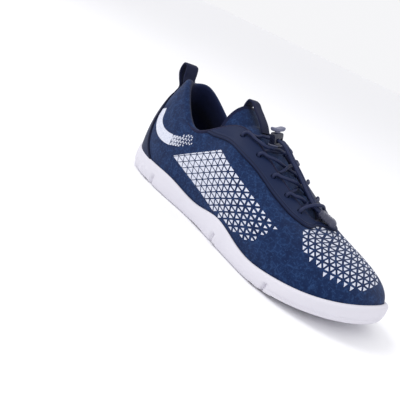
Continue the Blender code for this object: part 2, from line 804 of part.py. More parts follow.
def eyelet(row, side):
    """Station and share of an eyelet: side is -1 on the outer side and 1 on the inner."""
    station = EYELET_STATIONS[row]
    if side > 0:
        station = STATIONS - station
    at = np.array([station])
    return at, share_below_top(at, np.array([EYELET_INSET]))


def make_punches():
    """The eyelets' cutter, ten short pins that stand square to the skin."""
    pins = bmesh.new()
    for row in range(len(EYELET_STATIONS)):
        for side in (-1, 1):
            at, share = eyelet(row, side)
            centre = Vector(skin(at, share)[0])
            normal = Vector(skin_normal(at, share)[0])
            place = Matrix.Translation(centre) @ normal.to_track_quat("Z", "Y").to_matrix().to_4x4()
            bmesh.ops.create_cone(pins, cap_ends=True, segments=8, radius1=EYELET_BORE / 2,
                                  radius2=EYELET_BORE / 2, depth=CUT, matrix=place)
    return cutter("eyelet_punches", finish_mesh(pins, "eyelet_punches"))


def tongue_clear(at):
    """How far under the skin the tongue lies: under the wall, and lower towards the corner."""
    return WALL + 2 * GAP + TONGUE_DROP * ease(from_toe(at), *TONGUE_DROP_STATIONS)


def tongue_section(at, across):
    """The tongue's outer face between the two throat edges at a station, across from 0 to 1."""
    near_share = share_below_top(at, 0 * at)
    clear = -tongue_clear(at)
    near = off_skin(at, near_share, clear)
    far = off_skin(STATIONS - at, near_share, clear)
    width = np.linalg.norm(far - near, axis=-1, keepdims=True)
    slope = np.radians(column("slope", at))
    over_x, over_y = outward(top_edge, at)
    up = np.stack([0 * at, -over_y * np.cos(slope), np.sin(slope)], -1)
    back_x, back_y = outward(top_edge, STATIONS - at)
    down = np.stack([0 * at, -back_y * np.cos(slope), np.sin(slope)], -1)
    crown = TONGUE_CROWN + (TONGUE_SINK - TONGUE_CROWN) * ease(at, COLLAR_CORNER, SUNK_FROM)
    reach = crown[:, None] * width
    s = across[:, None]
    return ((1 - s) ** 3 * near + 3 * (1 - s) ** 2 * s * (near + up * reach)
            + 3 * (1 - s) * s**2 * (far + down * reach) + s**3 * far)


def tongue_overlap(at):
    return TONGUE_OVERLAP * (1 - 0.25 * ease(from_toe(at), 3.5, 5.0))


def tongue_top():
    """Along and up to the middle of the tongue's top edge, which stands past the throat."""
    crown = tongue_section(np.array([COLLAR_CORNER]), np.array([0.5]))[0]
    lift = math.radians(TONGUE_LEAN)
    return crown[0] - TONGUE_RISE * math.cos(lift), crown[2] + TONGUE_RISE * math.sin(lift)


def make_tongue():
    """The padded tongue under the throat, which stands up out of the collar."""
    body = bmesh.new()
    across_steps = 8
    under_steps = 2
    start = COLLAR_CORNER

    def under(u, v):
        at = start + (STATIONS - 2 * start) * u
        share = share_below_top(at, tongue_overlap(at) * v)
        return off_skin(at, share, -tongue_clear(at))

    def over(u, v):
        return tongue_section(start + (TOE - start) * u, v)

    rim = []
    for step in range(under_steps, 0, -1):
        rim.append(under(np.array([0.0]), np.array([step / under_steps]))[0])
    for step in range(across_steps + 1):
        rim.append(over(np.array([0.0]), np.array([step / across_steps]))[0])
    for step in range(1, under_steps + 1):
        rim.append(under(np.array([1.0]), np.array([step / under_steps]))[0])
    rim = np.array(rim)
    top_x, top_z = tongue_top()
    foot_z = rim[0][2] - 0.0015
    high_z = foot_z + (top_z - foot_z) * 4 / 3
    s = np.linspace(0, 1, len(rim))[:, None]
    ends = [np.array([[top_x + 0.002, -TONGUE_HALF_WIDTH, foot_z]]),
            np.array([[top_x, -TONGUE_HALF_WIDTH, high_z]]),
            np.array([[top_x, TONGUE_HALF_WIDTH, high_z]]),
            np.array([[top_x + 0.002, TONGUE_HALF_WIDTH, foot_z]])]
    top = ((1 - s) ** 3 * ends[0] + 3 * (1 - s) ** 2 * s * ends[1]
           + 3 * (1 - s) * s**2 * ends[2] + s**3 * ends[3])

    def free(u, v):
        place = np.rint(v * (len(rim) - 1)).astype(int)
        return top[place] + (rim[place] - top[place]) * u[:, None]

    def strip(u, v):
        return under(u, 1 - v)

    add_sheet(body, 2 * THROAT_STEPS, under_steps, strip)
    add_sheet(body, THROAT_STEPS, across_steps, lambda u, v: over(u, v))
    add_sheet(body, 3, len(rim) - 1, free)
    made = piece("tongue", finish_mesh(body, "tongue"), SHOE, NAVY_KNIT)
    shell(made, TONGUE, -1)
    return made


def on_tongue(station, across, distance):
    """A point off the tongue's outer face, between the throat edges."""
    step = 0.01
    at = np.array([station])
    here = np.array([across])
    along = tongue_section(at + step, here) - tongue_section(at - step, here)
    over = tongue_section(at, here + step) - tongue_section(at, here - step)
    normal = np.cross(along[0], over[0])
    return tongue_section(at, here)[0] + normal / np.linalg.norm(normal) * distance


def over_eyestay(row, side, ahead=0.0, inset=EYELET_INSET, lift=0.0):
    """The middle of a cord that lies on the eyestay, at an eyelet or some way ahead of it."""
    station = EYELET_STATIONS[row] + ahead
    if side > 0:
        station = STATIONS - station
    at = np.array([station])
    share = share_below_top(at, np.array([inset]))
    return off_skin(at, share, np.array([OVERLAY_GAP + OVERLAY + GAP + CORD / 2 + lift]))[0]


def lace_strand(row, side):
    """A strand from an eyelet over the throat edge and the tongue to the far edge's next row."""
    ahead = EYELET_STATIONS[row + 1] - EYELET_STATIONS[row]
    lead = STRAND_LEADS[row]
    far = 0.5 + 0.5 * side * (STRAND_END - 1)
    clear = CORD / 2 + GAP
    points = [
        over_eyestay(row, side, lift=STRAND_CLEAR),
        over_eyestay(row, side, 0.6 * lead * ahead, 0.4 * EYELET_INSET, STRAND_CLEAR),
        over_eyestay(row, side, lead * ahead, 0.02 * EYELET_INSET, STRAND_CLEAR),
        on_tongue(EYELET_STATIONS[row] + 0.5 * (1 + lead) * ahead, 0.5, clear + STRAND_CLEAR),
        on_tongue(EYELET_STATIONS[row + 1], far, clear),
    ]
    return smooth_route(points, TUBE_STEPS)


def make_crossings():
    """The four crossings of the lace over the tongue, each two strands joined where they cross."""
    for row in range(len(EYELET_STATIONS) - 1):
        name = "lace_crossing_" + str(row + 1)
        outer = tube_mesh(name, lace_strand(row, -1), CORD / 2)
        inner = tube_mesh(name + "_inner", lace_strand(row, 1), CORD / 2)
        made = piece(name, outer, SHOE, SLATE_CORD)
        boolean(made, cutter(name + "_inner", inner), "UNION")


def make_bar():
    """The lowest run of the lace, straight across between the last two eyelets."""
    last = len(EYELET_STATIONS) - 1
    middle = tail_line()[-1] + np.array([0.0, 0.0, CORD + 2 * GAP])
    half = TAIL_SPREAD + CORD
    points = [over_eyestay(last, -1, lift=STRAND_CLEAR), middle + np.array([0.0, -half, 0.0]),
              middle + np.array([0.0, half, 0.0]), over_eyestay(last, 1, lift=STRAND_CLEAR)]
    made = tube_curve("lace_bar", smooth_route(points, TUBE_STEPS), CORD / 2)
    SHOE.objects.link(made)
    made.data.materials.append(SLATE_CORD)


def lock_place():
    """Where the cord lock stands: its base on the lace's top crossings, leaning back and out."""
    base = Vector(on_tongue(*LOCK_SPOT))
    lean = (Matrix.Rotation(-math.radians(LOCK_LEAN_BACK), 4, "Y")
            @ Matrix.Rotation(math.radians(LOCK_LEAN_OUT), 4, "X"))
    return Matrix.Translation(base) @ lean


def box_mesh(name, size, low, bevel, cuts=0):
    """A bevelled box that stands on z = low, in its own frame."""
    box = bmesh.new()
    bmesh.ops.create_cube(box, size=1.0)
    bmesh.ops.scale(box, verts=box.verts, vec=size)
    bmesh.ops.translate(box, verts=box.verts, vec=(0, 0, low + size[2] / 2))
    if cuts:
        ends = [edge for edge in box.edges
                if abs(edge.verts[0].co.y - edge.verts[1].co.y) > size[1] / 2]
        bmesh.ops.subdivide_edges(box, edges=ends, cuts=cuts, use_grid_fill=True)
    if bevel:
        sharp = [edge for edge in box.edges if edge.calc_face_angle() > 1.0]
        bmesh.ops.bevel(box, geom=sharp, offset=bevel, segments=1, profile=0.5, affect="EDGES",
                        material=-1)
    mesh = bpy.data.meshes.new(name)
    box.to_mesh(mesh)
    box.free()
    return mesh


def pin_mesh(mesh, radius, length, place, segments=12):
    bmesh.ops.create_cone(mesh, cap_ends=True, segments=segments, radius1=radius, radius2=radius,
                          depth=length, matrix=place)


def make_lock():
    """The cord lock: a body with two cord holes, and the button that is pressed to free them."""
    place = lock_place()
    mesh = box_mesh("cord_lock_body", (LOCK_DEPTH, LOCK_WIDTH, LOCK_HEIGHT), 0.0, 0.0014)
    body = piece("cord_lock_body", mesh, SHOE, LOCK_PLASTIC)
    body.matrix_world = place
    bores = bmesh.new()
    for side in (-1, 1):
        turn = Matrix.Rotation(math.pi / 2, 4, "Y")
        spot = Matrix.Translation((0, side * LOCK_BORE_SPREAD, LOCK_BORE_HEIGHT))
        pin_mesh(bores, CORD / 2 + GAP, 2 * LOCK_DEPTH, spot @ turn)
    well = Matrix.Translation((0, 0, LOCK_HEIGHT))
    pin_mesh(bores, LOCK_STEM / 2 + GAP, 2 * LOCK_STEM_DEPTH, well)
    bore = cutter("lock_bores", finish_mesh(bores, "lock_bores"))
    bore.matrix_world = place
    boolean(body, bore, "DIFFERENCE")

    head = box_mesh("cord_lock_button", (LOCK_DEPTH, LOCK_HEAD_WIDTH, LOCK_HEAD_HEIGHT),
                    LOCK_HEIGHT + GAP + LOCK_NECK, 0.0012, cuts=3)
    top = LOCK_HEIGHT + GAP + LOCK_NECK + LOCK_HEAD_HEIGHT
    for vertex in head.vertices:
        share = abs(vertex.co.y) / (LOCK_HEAD_WIDTH / 2)
        if vertex.co.z > top - LOCK_HEAD_HEIGHT / 2:
            vertex.co.z -= LOCK_SADDLE * (1 - share**2)
    button = piece("cord_lock_button", head, SHOE, GREY_PLASTIC)
    button.matrix_world = place
    stem = bmesh.new()
    length = LOCK_STEM_DEPTH + LOCK_NECK + LOCK_HEAD_HEIGHT / 2 - GAP
    middle = LOCK_HEIGHT - LOCK_STEM_DEPTH + 2 * GAP + length / 2
    pin_mesh(stem, LOCK_STEM / 2, length, Matrix.Translation((0, 0, middle)))
    post = cutter("lock_stem", finish_mesh(stem, "lock_stem"))
    post.matrix_world = place
    boolean(button, post, "UNION")


def make_leads():
    """The two short runs that come from under the throat edge into the back of the lock."""
    place = lock_place()
    for side, word in ((-1, "outer"), (1, "inner")):
        hole = Vector((-LOCK_DEPTH / 2 - GAP, side * LOCK_BORE_SPREAD, LOCK_BORE_HEIGHT))
        behind = hole + Vector((-0.0030, side * 0.0008, 0.0))
        far = 0.5 - 0.5 * side * (STRAND_END - 1)
        points = [on_tongue(LEAD_STATION, far, CORD / 2 + GAP),
                  on_tongue(LEAD_STATION, 0.5 + 0.22 * side, CORD / 2 + 3 * STRAND_CLEAR),
                  place @ behind, place @ hole]
        made = tube_curve("lace_lead_" + word, smooth_route(points, TUBE_STEPS - 2), CORD / 2)
        SHOE.objects.link(made)
        made.data.materials.append(SLATE_CORD)


def tail_line():
    """The points of the line midway between the two tails."""
    start = lock_place() @ Vector((TAIL_START, 0, LOCK_BORE_HEIGHT))
    return [np.array(start)] + [on_tongue(*row) for row in TAIL_ROUTE]


def make_tails():
    """The two ends of the lace, side by side from the lock to their end clip."""
    for side, word in ((-1, "outer"), (1, "inner")):
        line = smooth_route(tail_line(), TAIL_STEPS)
        line[:, 1] += side * TAIL_SPREAD
        made = tube_curve("lace_tail_" + word, line, CORD / 2)
        SHOE.objects.link(made)
        made.data.materials.append(SLATE_CORD)


def make_clip():
    """The ribbed clip that holds the two ends together."""
    start = Vector(tail_line()[-1]) + Vector(CLIP_STEP)
    run = Vector(CLIP_AIM)
    mesh = box_mesh("cord_end_clip", (CLIP_WIDTH, CLIP_HEIGHT, CLIP_LENGTH), 0.0, 0.0012)
    clip = piece("cord_end_clip", mesh, SHOE, GREY_PLASTIC)
    clip.matrix_world = Matrix.Translation(start) @ run.to_track_quat("Z", "Y").to_matrix().to_4x4()
    slots = bmesh.new()
    for step in range(CLIP_RIBS):
        low = CLIP_LENGTH * (0.30 + 0.60 * step / CLIP_RIBS)
        for side in (-1, 1):
            spot = Matrix.Translation((0, side * CLIP_HEIGHT / 2, low))
            bmesh.ops.create_cube(slots, size=1.0, matrix=spot @ Matrix.Diagonal(
                (2 * CLIP_WIDTH, 2 * CLIP_SLOT, CLIP_LENGTH * 0.06, 1)))
    slot = cutter("clip_slots", finish_mesh(slots, "clip_slots"))
    slot.matrix_world = clip.matrix_world
    boolean(clip, slot, "DIFFERENCE")


def make_heel_loop():
    """The webbing pull loop, both legs sewn one over the other to the back of the collar."""
    at = np.array([0.0])
    under = WEBBING / 2 + COUNTER_GAP
    over = under + WEBBING + GAP
    legs = []
    for below, off in zip(HEEL_LOOP_LEGS, (over, over, under, under)):
        legs.append(off_skin(at, share_below_top(at, np.array([below])), np.array([off]))[0])
    top = np.array(top_edge(at))[:, 0]
    arc = [top + np.array([dx, 0.0, dz]) for dx, dz in HEEL_LOOP_ARC]
    points = legs[:2] + arc + legs[2:]
    line = smooth_route(points, LOOP_STEPS)
    ribbon("heel_loop", line[:, (0, 2)], HEEL_LOOP_WIDTH, WEBBING, SHOE, DARK_CLOTH)


def make_tongue_tab():
    """The webbing pull tab, a flat loop over the top of the tongue."""
    foot = on_tongue(TAB_STATION, 0.5, GAP + WEBBING / 2)
    top_x, top_z = tongue_top()
    top = np.array([top_x, 0.0, top_z])
    arc = [top + np.array([dx, 0.0, dz]) for dx, dz in TAB_ARC]
    line = smooth_route(arc + [foot], LOOP_STEPS)
    ribbon("tongue_tab", line[:, (0, 2)], TAB_WIDTH, WEBBING, SHOE, DARK_CLOTH)


def clear_scene():
    for made in list(bpy.data.objects):
        bpy.data.objects.remove(made)


clear_scene()
SHOE = collection("barefoot_shoe")
CUTTERS = collection("cutters")
WHITE_RUBBER = material("white_rubber", (0.78, 0.76, 0.80), 0.55)
NAVY_KNIT = material("navy_knit", (0.014, 0.038, 0.125), 0.85)
DARK_CLOTH = material("dark_cloth", (0.006, 0.008, 0.028), 0.90)
SMOOTH_OVERLAY = material("smooth_overlay", (0.028, 0.038, 0.080), 0.50)
SLATE_CORD = material("slate_cord", (0.030, 0.040, 0.085), 0.75)
LOCK_PLASTIC = material("lock_plastic", (0.030, 0.030, 0.045), 0.30)
GREY_PLASTIC = material("grey_plastic", (0.150, 0.150, 0.180), 0.45)

PUNCHES = make_punches()
make_outsole()
make_insole()
make_upper()
make_tongue()
make_piping()
make_eyestay()
make_counter()
make_heel_loop()
make_tongue_tab()
make_crossings()
make_bar()
make_lock()
make_leads()
make_tails()
make_clip()
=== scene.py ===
# %% [markdown]
# A right barefoot shoe, dressed over its CAD solids.
#
# The frame holds the solids at their real size, in metres, with the toe along +X, the outer side
# of the foot at -Y and the floor at z = 0. Everything here is made over that frame, so the first
# step loads it.

# %% Load the frame
import math

import bmesh
import bpy
import numpy as np
from mathutils import Matrix, Quaternion, Vector


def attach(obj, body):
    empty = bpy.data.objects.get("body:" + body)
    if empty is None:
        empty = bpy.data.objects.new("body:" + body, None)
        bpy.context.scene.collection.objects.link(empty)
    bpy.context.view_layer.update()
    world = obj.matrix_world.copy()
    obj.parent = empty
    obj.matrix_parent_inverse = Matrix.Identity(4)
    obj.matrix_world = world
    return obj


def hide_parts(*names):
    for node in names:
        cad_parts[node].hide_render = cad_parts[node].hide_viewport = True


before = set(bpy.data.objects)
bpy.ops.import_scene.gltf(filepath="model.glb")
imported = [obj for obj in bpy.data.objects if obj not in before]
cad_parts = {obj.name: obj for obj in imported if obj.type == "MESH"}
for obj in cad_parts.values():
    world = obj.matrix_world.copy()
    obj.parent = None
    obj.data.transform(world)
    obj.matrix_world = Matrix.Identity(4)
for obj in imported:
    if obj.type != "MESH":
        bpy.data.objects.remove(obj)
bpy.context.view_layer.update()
MM = 0.001

# %% [markdown]
# The camera stands low on the outer side of the toe, about half a metre off, with a short
# telephoto lens. The shoe in the picture leans on its toe while this one stands flat, so the
# camera is rolled instead, which keeps the same angle between lens and shoe.

# %% Camera
CAMERA_PLACE = Vector((0.295, -0.391, 0.165))
CAMERA_AIM = Vector((-0.0330, -0.0207, 0.0132))
CAMERA_ROLL = 25.7
LENS = 53.8

camera = bpy.data.objects.new("camera", bpy.data.cameras.new("camera"))
bpy.context.scene.collection.objects.link(camera)
camera.data.lens = LENS
camera.data.clip_start = 0.01
camera.location = CAMERA_PLACE
camera.rotation_mode = "QUATERNION"
level = (CAMERA_AIM - CAMERA_PLACE).to_track_quat("-Z", "Y")
camera.rotation_quaternion = level @ Quaternion((0, 0, 1), math.radians(CAMERA_ROLL))
bpy.context.scene.camera = camera
print("camera distance:", round((CAMERA_AIM - CAMERA_PLACE).length, 3), "m")


# %% [markdown]
# Colours are picked as screen values in sRGB, and the shader wants linear light, so one function
# turns them. A second small function adds any shader node with its settings and its links. The
# others are steps that every finish here takes: to lay tones over each other by a pattern, and to
# raise a relief from it. A noise is set by the size of its clouds in metres.

# %% Colour and node helpers
def linear(hex_code):
    """A linear colour from an sRGB hex code."""
    shares = [int(hex_code[i:i + 2], 16) / 255 for i in (1, 3, 5)]
    return (*(s / 12.92 if s <= 0.04045 else ((s + 0.055) / 1.055) ** 2.4 for s in shares), 1.0)


def new_material(name, roughness, **sockets):
    """A material with its Principled shader, and the settings that are the same all over."""
    made = bpy.data.materials.new(name)
    made.use_nodes = True
    shader = made.node_tree.nodes["Principled BSDF"]
    shader.inputs["Roughness"].default_value = roughness
    for socket, value in sockets.items():
        shader.inputs[socket.replace("_", " ")].default_value = value
    return made, shader


def add(made, kind, links=None, **settings):
    """Adds a node: links go from input name or number to a value, a colour or another's output."""
    node = made.node_tree.nodes.new("ShaderNode" + kind)
    for name, value in settings.items():
        setattr(node, name, value)
    for name, value in (links or {}).items():
        if isinstance(value, bpy.types.NodeSocket):
            made.node_tree.links.new(value, node.inputs[name])
        else:
            node.inputs[name].default_value = value
    return node


def layered(made, base, *layers):
    """Lays tones over a base tone, each by its share."""
    for share, tone in layers:
        base = add(made, "Mix", {"Factor": share, "A": base, "B": tone},
                   data_type="RGBA").outputs["Result"]
    return base


def dress(made, shader, colour, height=None, depth=0.0):
    """Leads a colour into the shader, and a relief: depth is how high one unit of height is."""
    made.node_tree.links.new(colour, shader.inputs["Base Color"])
    if depth:
        relief = add(made, "Bump", {"Height": height, "Distance": depth})
        made.node_tree.links.new(relief.outputs["Normal"], shader.inputs["Normal"])


def two_tones(made, shader, pattern, dark, pale, depth, span=(0.0, 1.0)):
    """A finish that goes from a dark to a pale tone while its pattern rises through a span."""
    share = add(made, "MapRange", {"Value": pattern, "From Min": span[0], "From Max": span[1]},
                interpolation_type="LINEAR" if span == (0.0, 1.0) else "SMOOTHSTEP")
    dress(made, shader, layered(made, linear(dark), (share.outputs["Result"], linear(pale))),
          pattern, depth)


def clouded(name, roughness, size, dark, pale, depth, detail=2.0, span=(0.0, 1.0), **sockets):
    """A finish with two close tones and a fine relief in soft clouds of a size in metres."""
    made, shader = new_material(name, roughness, **sockets)
    place = add(made, "TexCoord").outputs["Object"]
    cloud = add(made, "TexNoise", {"Vector": place, "Scale": 1 / size, "Detail": detail})
    two_tones(made, shader, cloud.outputs["Fac"], dark, pale, depth, span)
    return made


def cloth_waves(made, step_x, step_y, turn=0.0):
    """A wave along the cloth and one across it, by the UV map in metres, or both turned."""
    uv = add(made, "UVMap", uv_map="UVMap").outputs["UV"]
    turned = add(made, "Mapping", {"Vector": uv, "Rotation": (0, 0, math.radians(turn)), "Scale": (
        2 * math.pi / step_x, 2 * math.pi / step_y, 1.0)})
    split = add(made, "SeparateXYZ", {0: turned.outputs["Vector"]})
    return [add(made, "Math", {0: split.outputs[axis]}, operation="SINE").outputs[0]
            for axis in "XY"]


# %% [markdown]
# The floor is a plain pale sheet that runs far out, so it meets the pale sky without a line. Three
# large soft lights stand round the shoe: one high over the heel, a weaker one on the toe side, and
# a low fill. The sky gives the rest. Colours go to the screen as they are, as in a product shot on
# white.

# %% Floor and light
FLOOR_RADIUS = 60.0
SKY_STRENGTH = 0.96
LIGHT_AIM = (0, 0, 0.03)

PALE_FLOOR, floor_shader = new_material("pale_floor", 0.65, Specular_IOR_Level=0.2)
floor_shader.inputs["Base Color"].default_value = linear("#FBFBFD")
floor_mesh = bmesh.new()
bmesh.ops.create_circle(floor_mesh, cap_ends=True, segments=64, radius=FLOOR_RADIUS)
floor_data = bpy.data.meshes.new("floor")
floor_mesh.to_mesh(floor_data)
floor_mesh.free()
floor_data.materials.append(PALE_FLOOR)
floor = bpy.data.objects.new("floor", floor_data)
bpy.context.scene.collection.objects.link(floor)


def soft_light(name, place, aim, size, power):
    lamp = bpy.data.lights.new(name, "AREA")
    lamp.shape = "DISK"
    lamp.size = size
    lamp.energy = power
    made = bpy.data.objects.new(name, lamp)
    made.location = place
    made.rotation_euler = (Vector(aim) - Vector(place)).to_track_quat("-Z", "Y").to_euler()
    bpy.context.scene.collection.objects.link(made)


soft_light("high_light", (-0.75, -0.55, 1.25), LIGHT_AIM, 0.7, 7.0)
soft_light("toe_light", (1.15, -0.25, 0.75), LIGHT_AIM, 0.6, 1.6)
soft_light("low_fill", (0.15, -1.40, 0.35), LIGHT_AIM, 0.7, 1.2)
world = bpy.data.worlds.new("pale_sky")
bpy.context.scene.world = world
world.use_nodes = True
sky = world.node_tree.nodes["Background"]
sky.inputs["Color"].default_value = linear("#FAFAFC")
sky.inputs["Strength"].default_value = SKY_STRENGTH
bpy.context.scene.view_settings.view_transform = "Standard"

# %% [markdown]
# A shoe is built on a last, a solid form of the foot. The solids of this shoe were cut from one
# function of the last: stations run round the foot from heel to outer side to toe to inner side,
# and a share runs up the wall from the sole to the top edge. The same function is repeated here,
# so each cloth, film and seam can be laid on it at any fineness. One row stands for one station.

# %% The last's sizes and sections
SOLE_LENGTH = 0.282
SOLE_WIDTH = 0.103
COLLAR_HEIGHT = 0.095
RAND_HEIGHT = 0.018
BED_HEIGHT = 0.0075
TOE_SPRING = 0.012
TOE_FLAT_END = 0.695
TOE_CURVE = 1.9
HEEL_BEVEL = 0.004
HEEL_FLAT_START = 0.082
ARCH_LIFT = 0.003
ARCH_PLACE = 0.43
ARCH_REACH = 0.10
ARCH_ACROSS = (0.02, 0.34)
RAND_WALL = 0.0045
TREAD_EDGE = 0.0040
GAP = 0.0003
WALL = 0.0024
COLLAR_PAD = 0.0080
PAD_THINNING = 0.35
PAD_ALONG = (0.5, 2.2)
PAD_UP = (0.52, 0.80)
PAD_TOP = (0.93, 1.0)
INSOLE = 0.0030
COLLAR_CORNER = 5.0

LAST_COLUMNS = ("along", "across", "rand", "top_along", "top_across", "top_height",
                "lean", "rise", "slope", "lie")
LAST = np.array((
    (0.000, 0.000, 1.12, 0.062, 0.000, 0.980, 8, 0.50, 69, 0.31),
    (0.040, -0.245, 1.00, 0.085, -0.140, 1.000, 7, 0.48, 71, 0.30),
    (0.170, -0.362, 0.98, 0.158, -0.250, 0.858, 10, 0.40, 74, 0.35),
    (0.298, -0.385, 0.98, 0.246, -0.308, 0.702, 8, 0.39, 72, 0.34),
    (0.422, -0.385, 0.80, 0.317, -0.278, 0.750, 8, 0.39, 58, 0.36),
    (0.543, -0.437, 1.08, 0.395, -0.182, 0.915, 9, 0.43, 36, 0.30),
    (0.664, -0.485, 0.76, 0.507, -0.155, 0.848, 10, 0.39, 29, 0.26),
    (0.783, -0.505, 0.74, 0.613, -0.130, 0.715, 10, 0.35, 22, 0.28),
    (0.893, -0.412, 0.74, 0.688, -0.094, 0.624, 10, 0.32, 19, 0.32),
    (0.972, -0.215, 0.80, 0.719, -0.048, 0.580, 10, 0.34, 19, 0.40),
    (1.000, 0.060, 0.84, 0.728, 0.000, 0.568, 8, 0.34, 19, 0.42),
    (0.976, 0.330, 0.80, 0.719, 0.048, 0.580, 10, 0.34, 19, 0.40),
    (0.888, 0.478, 0.74, 0.688, 0.094, 0.624, 10, 0.32, 19, 0.32),
    (0.770, 0.490, 0.74, 0.613, 0.130, 0.715, 10, 0.35, 22, 0.28),
    (0.656, 0.437, 0.76, 0.507, 0.155, 0.848, 9, 0.39, 29, 0.26),
    (0.535, 0.350, 1.08, 0.395, 0.182, 0.915, 6, 0.43, 36, 0.30),
    (0.417, 0.306, 0.80, 0.317, 0.272, 0.750, 6, 0.39, 58, 0.36),
    (0.294, 0.322, 0.98, 0.246, 0.305, 0.702, 7, 0.39, 72, 0.34),
    (0.167, 0.336, 0.98, 0.158, 0.250, 0.858, 10, 0.40, 74, 0.35),
    (0.040, 0.245, 1.00, 0.085, 0.140, 1.000, 7, 0.48, 71, 0.30),
))
STATIONS = len(LAST)
TOE = STATIONS / 2
print("stations round the last:", STATIONS)


# %% Curves through the sections
def closed_pulls(values):
    """How steeply a closed smooth curve passes each value."""
    count = len(values)
    system = 4 * np.eye(count) + np.roll(np.eye(count), 1, 0) + np.roll(np.eye(count), -1, 0)
    return np.linalg.solve(system, 3 * (np.roll(values, -1, 0) - np.roll(values, 1, 0)))


LAST_PULLS = closed_pulls(LAST)


def between(s, low, low_pull, high, high_pull):
    """A smooth value at a share s between two, which passes each as steeply as its pull."""
    return ((2 * s**3 - 3 * s**2 + 1) * low + (s**3 - 2 * s**2 + s) * low_pull
            + (3 * s**2 - 2 * s**3) * high + (s**3 - s**2) * high_pull)


def bezier(s, first, second, third, last):
    """The point at a share s of a curve with four control points."""
    return ((1 - s) ** 3 * first + 3 * (1 - s) ** 2 * s * second
            + 3 * (1 - s) * s**2 * third + s**3 * last)


def unit(vectors):
    """The same directions, each one long."""
    return vectors / np.maximum(np.linalg.norm(vectors, axis=-1, keepdims=True), 1e-12)


def run_lengths(line):
    """How far along a line of points each of them lies."""
    return np.concatenate([[0.0], np.cumsum(np.linalg.norm(np.diff(line, axis=0), axis=1))])


def column(name, at):
    place = LAST_COLUMNS.index(name)
    at = np.asarray(at, float) % STATIONS
    low = np.floor(at).astype(int) % STATIONS
    high = (low + 1) % STATIONS
    return between(at - np.floor(at), LAST[low, place], LAST_PULLS[low, place], LAST[high, place],
                   LAST_PULLS[high, place])


def smooth_steps(rows, at):
    """A soft curve through (place, value) rows."""
    places = np.array([row[0] for row in rows], float)
    values = np.array([row[1] for row in rows], float)
    pulls = np.gradient(values, places)
    at = np.clip(np.asarray(at, float), places[0], places[-1])
    low = np.clip(np.searchsorted(places, at, side="right") - 1, 0, len(places) - 2)
    width = places[low + 1] - places[low]
    return between((at - places[low]) / width, values[low], pulls[low] * width, values[low + 1],
                   pulls[low + 1] * width)


def ease(value, start, end):
    """0 before start, 1 after end, and smooth between."""
    share = np.clip((np.asarray(value, float) - start) / (end - start), 0, 1)
    return share * share * (3 - 2 * share)


FINE = np.linspace(0, STATIONS, 400, endpoint=False)
MIDDLE_ALONG = (column("along", FINE).max() + column("along", FINE).min()) / 2
MIDDLE_ACROSS = (column("across", FINE).max() + column("across", FINE).min()) / 2


def from_shares(along, across):
    return SOLE_LENGTH * (along - MIDDLE_ALONG), SOLE_WIDTH * (across - MIDDLE_ACROSS)


def outline(at):
    return from_shares(column("along", at), column("across", at))


def top_edge(at):
    x, y = from_shares(column("top_along", at), column("top_across", at))
    return x, y, COLLAR_HEIGHT * column("top_height", at)


def outward(curve, at):
    """The plan direction that points out of a closed curve."""
    step = 0.001
    ahead = curve(at + step)
    behind = curve(at - step)
    run_x = ahead[0] - behind[0]
    run_y = ahead[1] - behind[1]
    size = np.hypot(run_x, run_y)
    return run_y / size, -run_x / size


def within_outline(at, inset):
    """Plan points at a distance inside the sole's outline."""
    x, y = outline(at)
    out_x, out_y = outward(outline, at)
    return x - out_x * inset, y - out_y * inset


def underside(x, y):
    """Height of the tread, sprung at the toe and lifted at the heel's edge and the arch."""
    along = x / SOLE_LENGTH + MIDDLE_ALONG
    across = y / SOLE_WIDTH + MIDDLE_ACROSS
    toe = np.clip((along - TOE_FLAT_END) / (1 - TOE_FLAT_END), 0, 1) ** TOE_CURVE
    heel = np.clip((HEEL_FLAT_START - along) / HEEL_FLAT_START, 0, 1) ** 2
    arch = np.exp(-(((along - ARCH_PLACE) / ARCH_REACH) ** 2)) * ease(across, *ARCH_ACROSS)
    return TOE_SPRING * toe + HEEL_BEVEL * heel + ARCH_LIFT * arch


def spring(x):
    return underside(x, from_shares(0, -0.5)[1] + 0 * x)


def rand_top(at):
    return spring(outline(at)[0]) + RAND_HEIGHT * column("rand", at)


print("sole outline in mm:", round(float(np.ptp(outline(FINE)[0])) / MM, 1), "by",
      round(float(np.ptp(outline(FINE)[1])) / MM, 1))


# %% The wall of the last
def wall_curve(at):
    """The four control points of the outer skin at a station, from the foot to the top edge."""
    out_x, out_y = outward(outline, at)
    foot_x, foot_y = within_outline(at, RAND_WALL)
    foot = np.stack([foot_x, foot_y, BED_HEIGHT + GAP + spring(foot_x)], -1)
    top = np.stack(top_edge(at), -1)
    over_x, over_y = outward(top_edge, at)
    lean = np.radians(column("lean", at))
    slope = np.radians(column("slope", at))
    span = np.linalg.norm(top - foot, axis=-1)
    up = np.stack([out_x * np.sin(lean), out_y * np.sin(lean), np.cos(lean)], -1)
    down = np.stack([over_x * np.cos(slope), over_y * np.cos(slope), -np.sin(slope)], -1)
    return (foot, foot + up * (column("rise", at) * span)[..., None],
            top + down * (column("lie", at) * span)[..., None], top)


TABLE_STEPS = 4000
WALL_TABLE = np.stack(wall_curve(np.linspace(0, STATIONS, TABLE_STEPS + 1)))


def skin(at, share):
    """A point of the upper's outer skin, from a fine table of the curves all round."""
    at, share = np.broadcast_arrays(np.asarray(at, float), np.asarray(share, float))
    place = (at % STATIONS) * (TABLE_STEPS / STATIONS)
    row = np.clip(np.floor(place).astype(int), 0, TABLE_STEPS - 1)
    part = (place - row)[..., None]
    points = (table[row] + (table[row + 1] - table[row]) * part for table in WALL_TABLE)
    return bezier(share[..., None], *points)


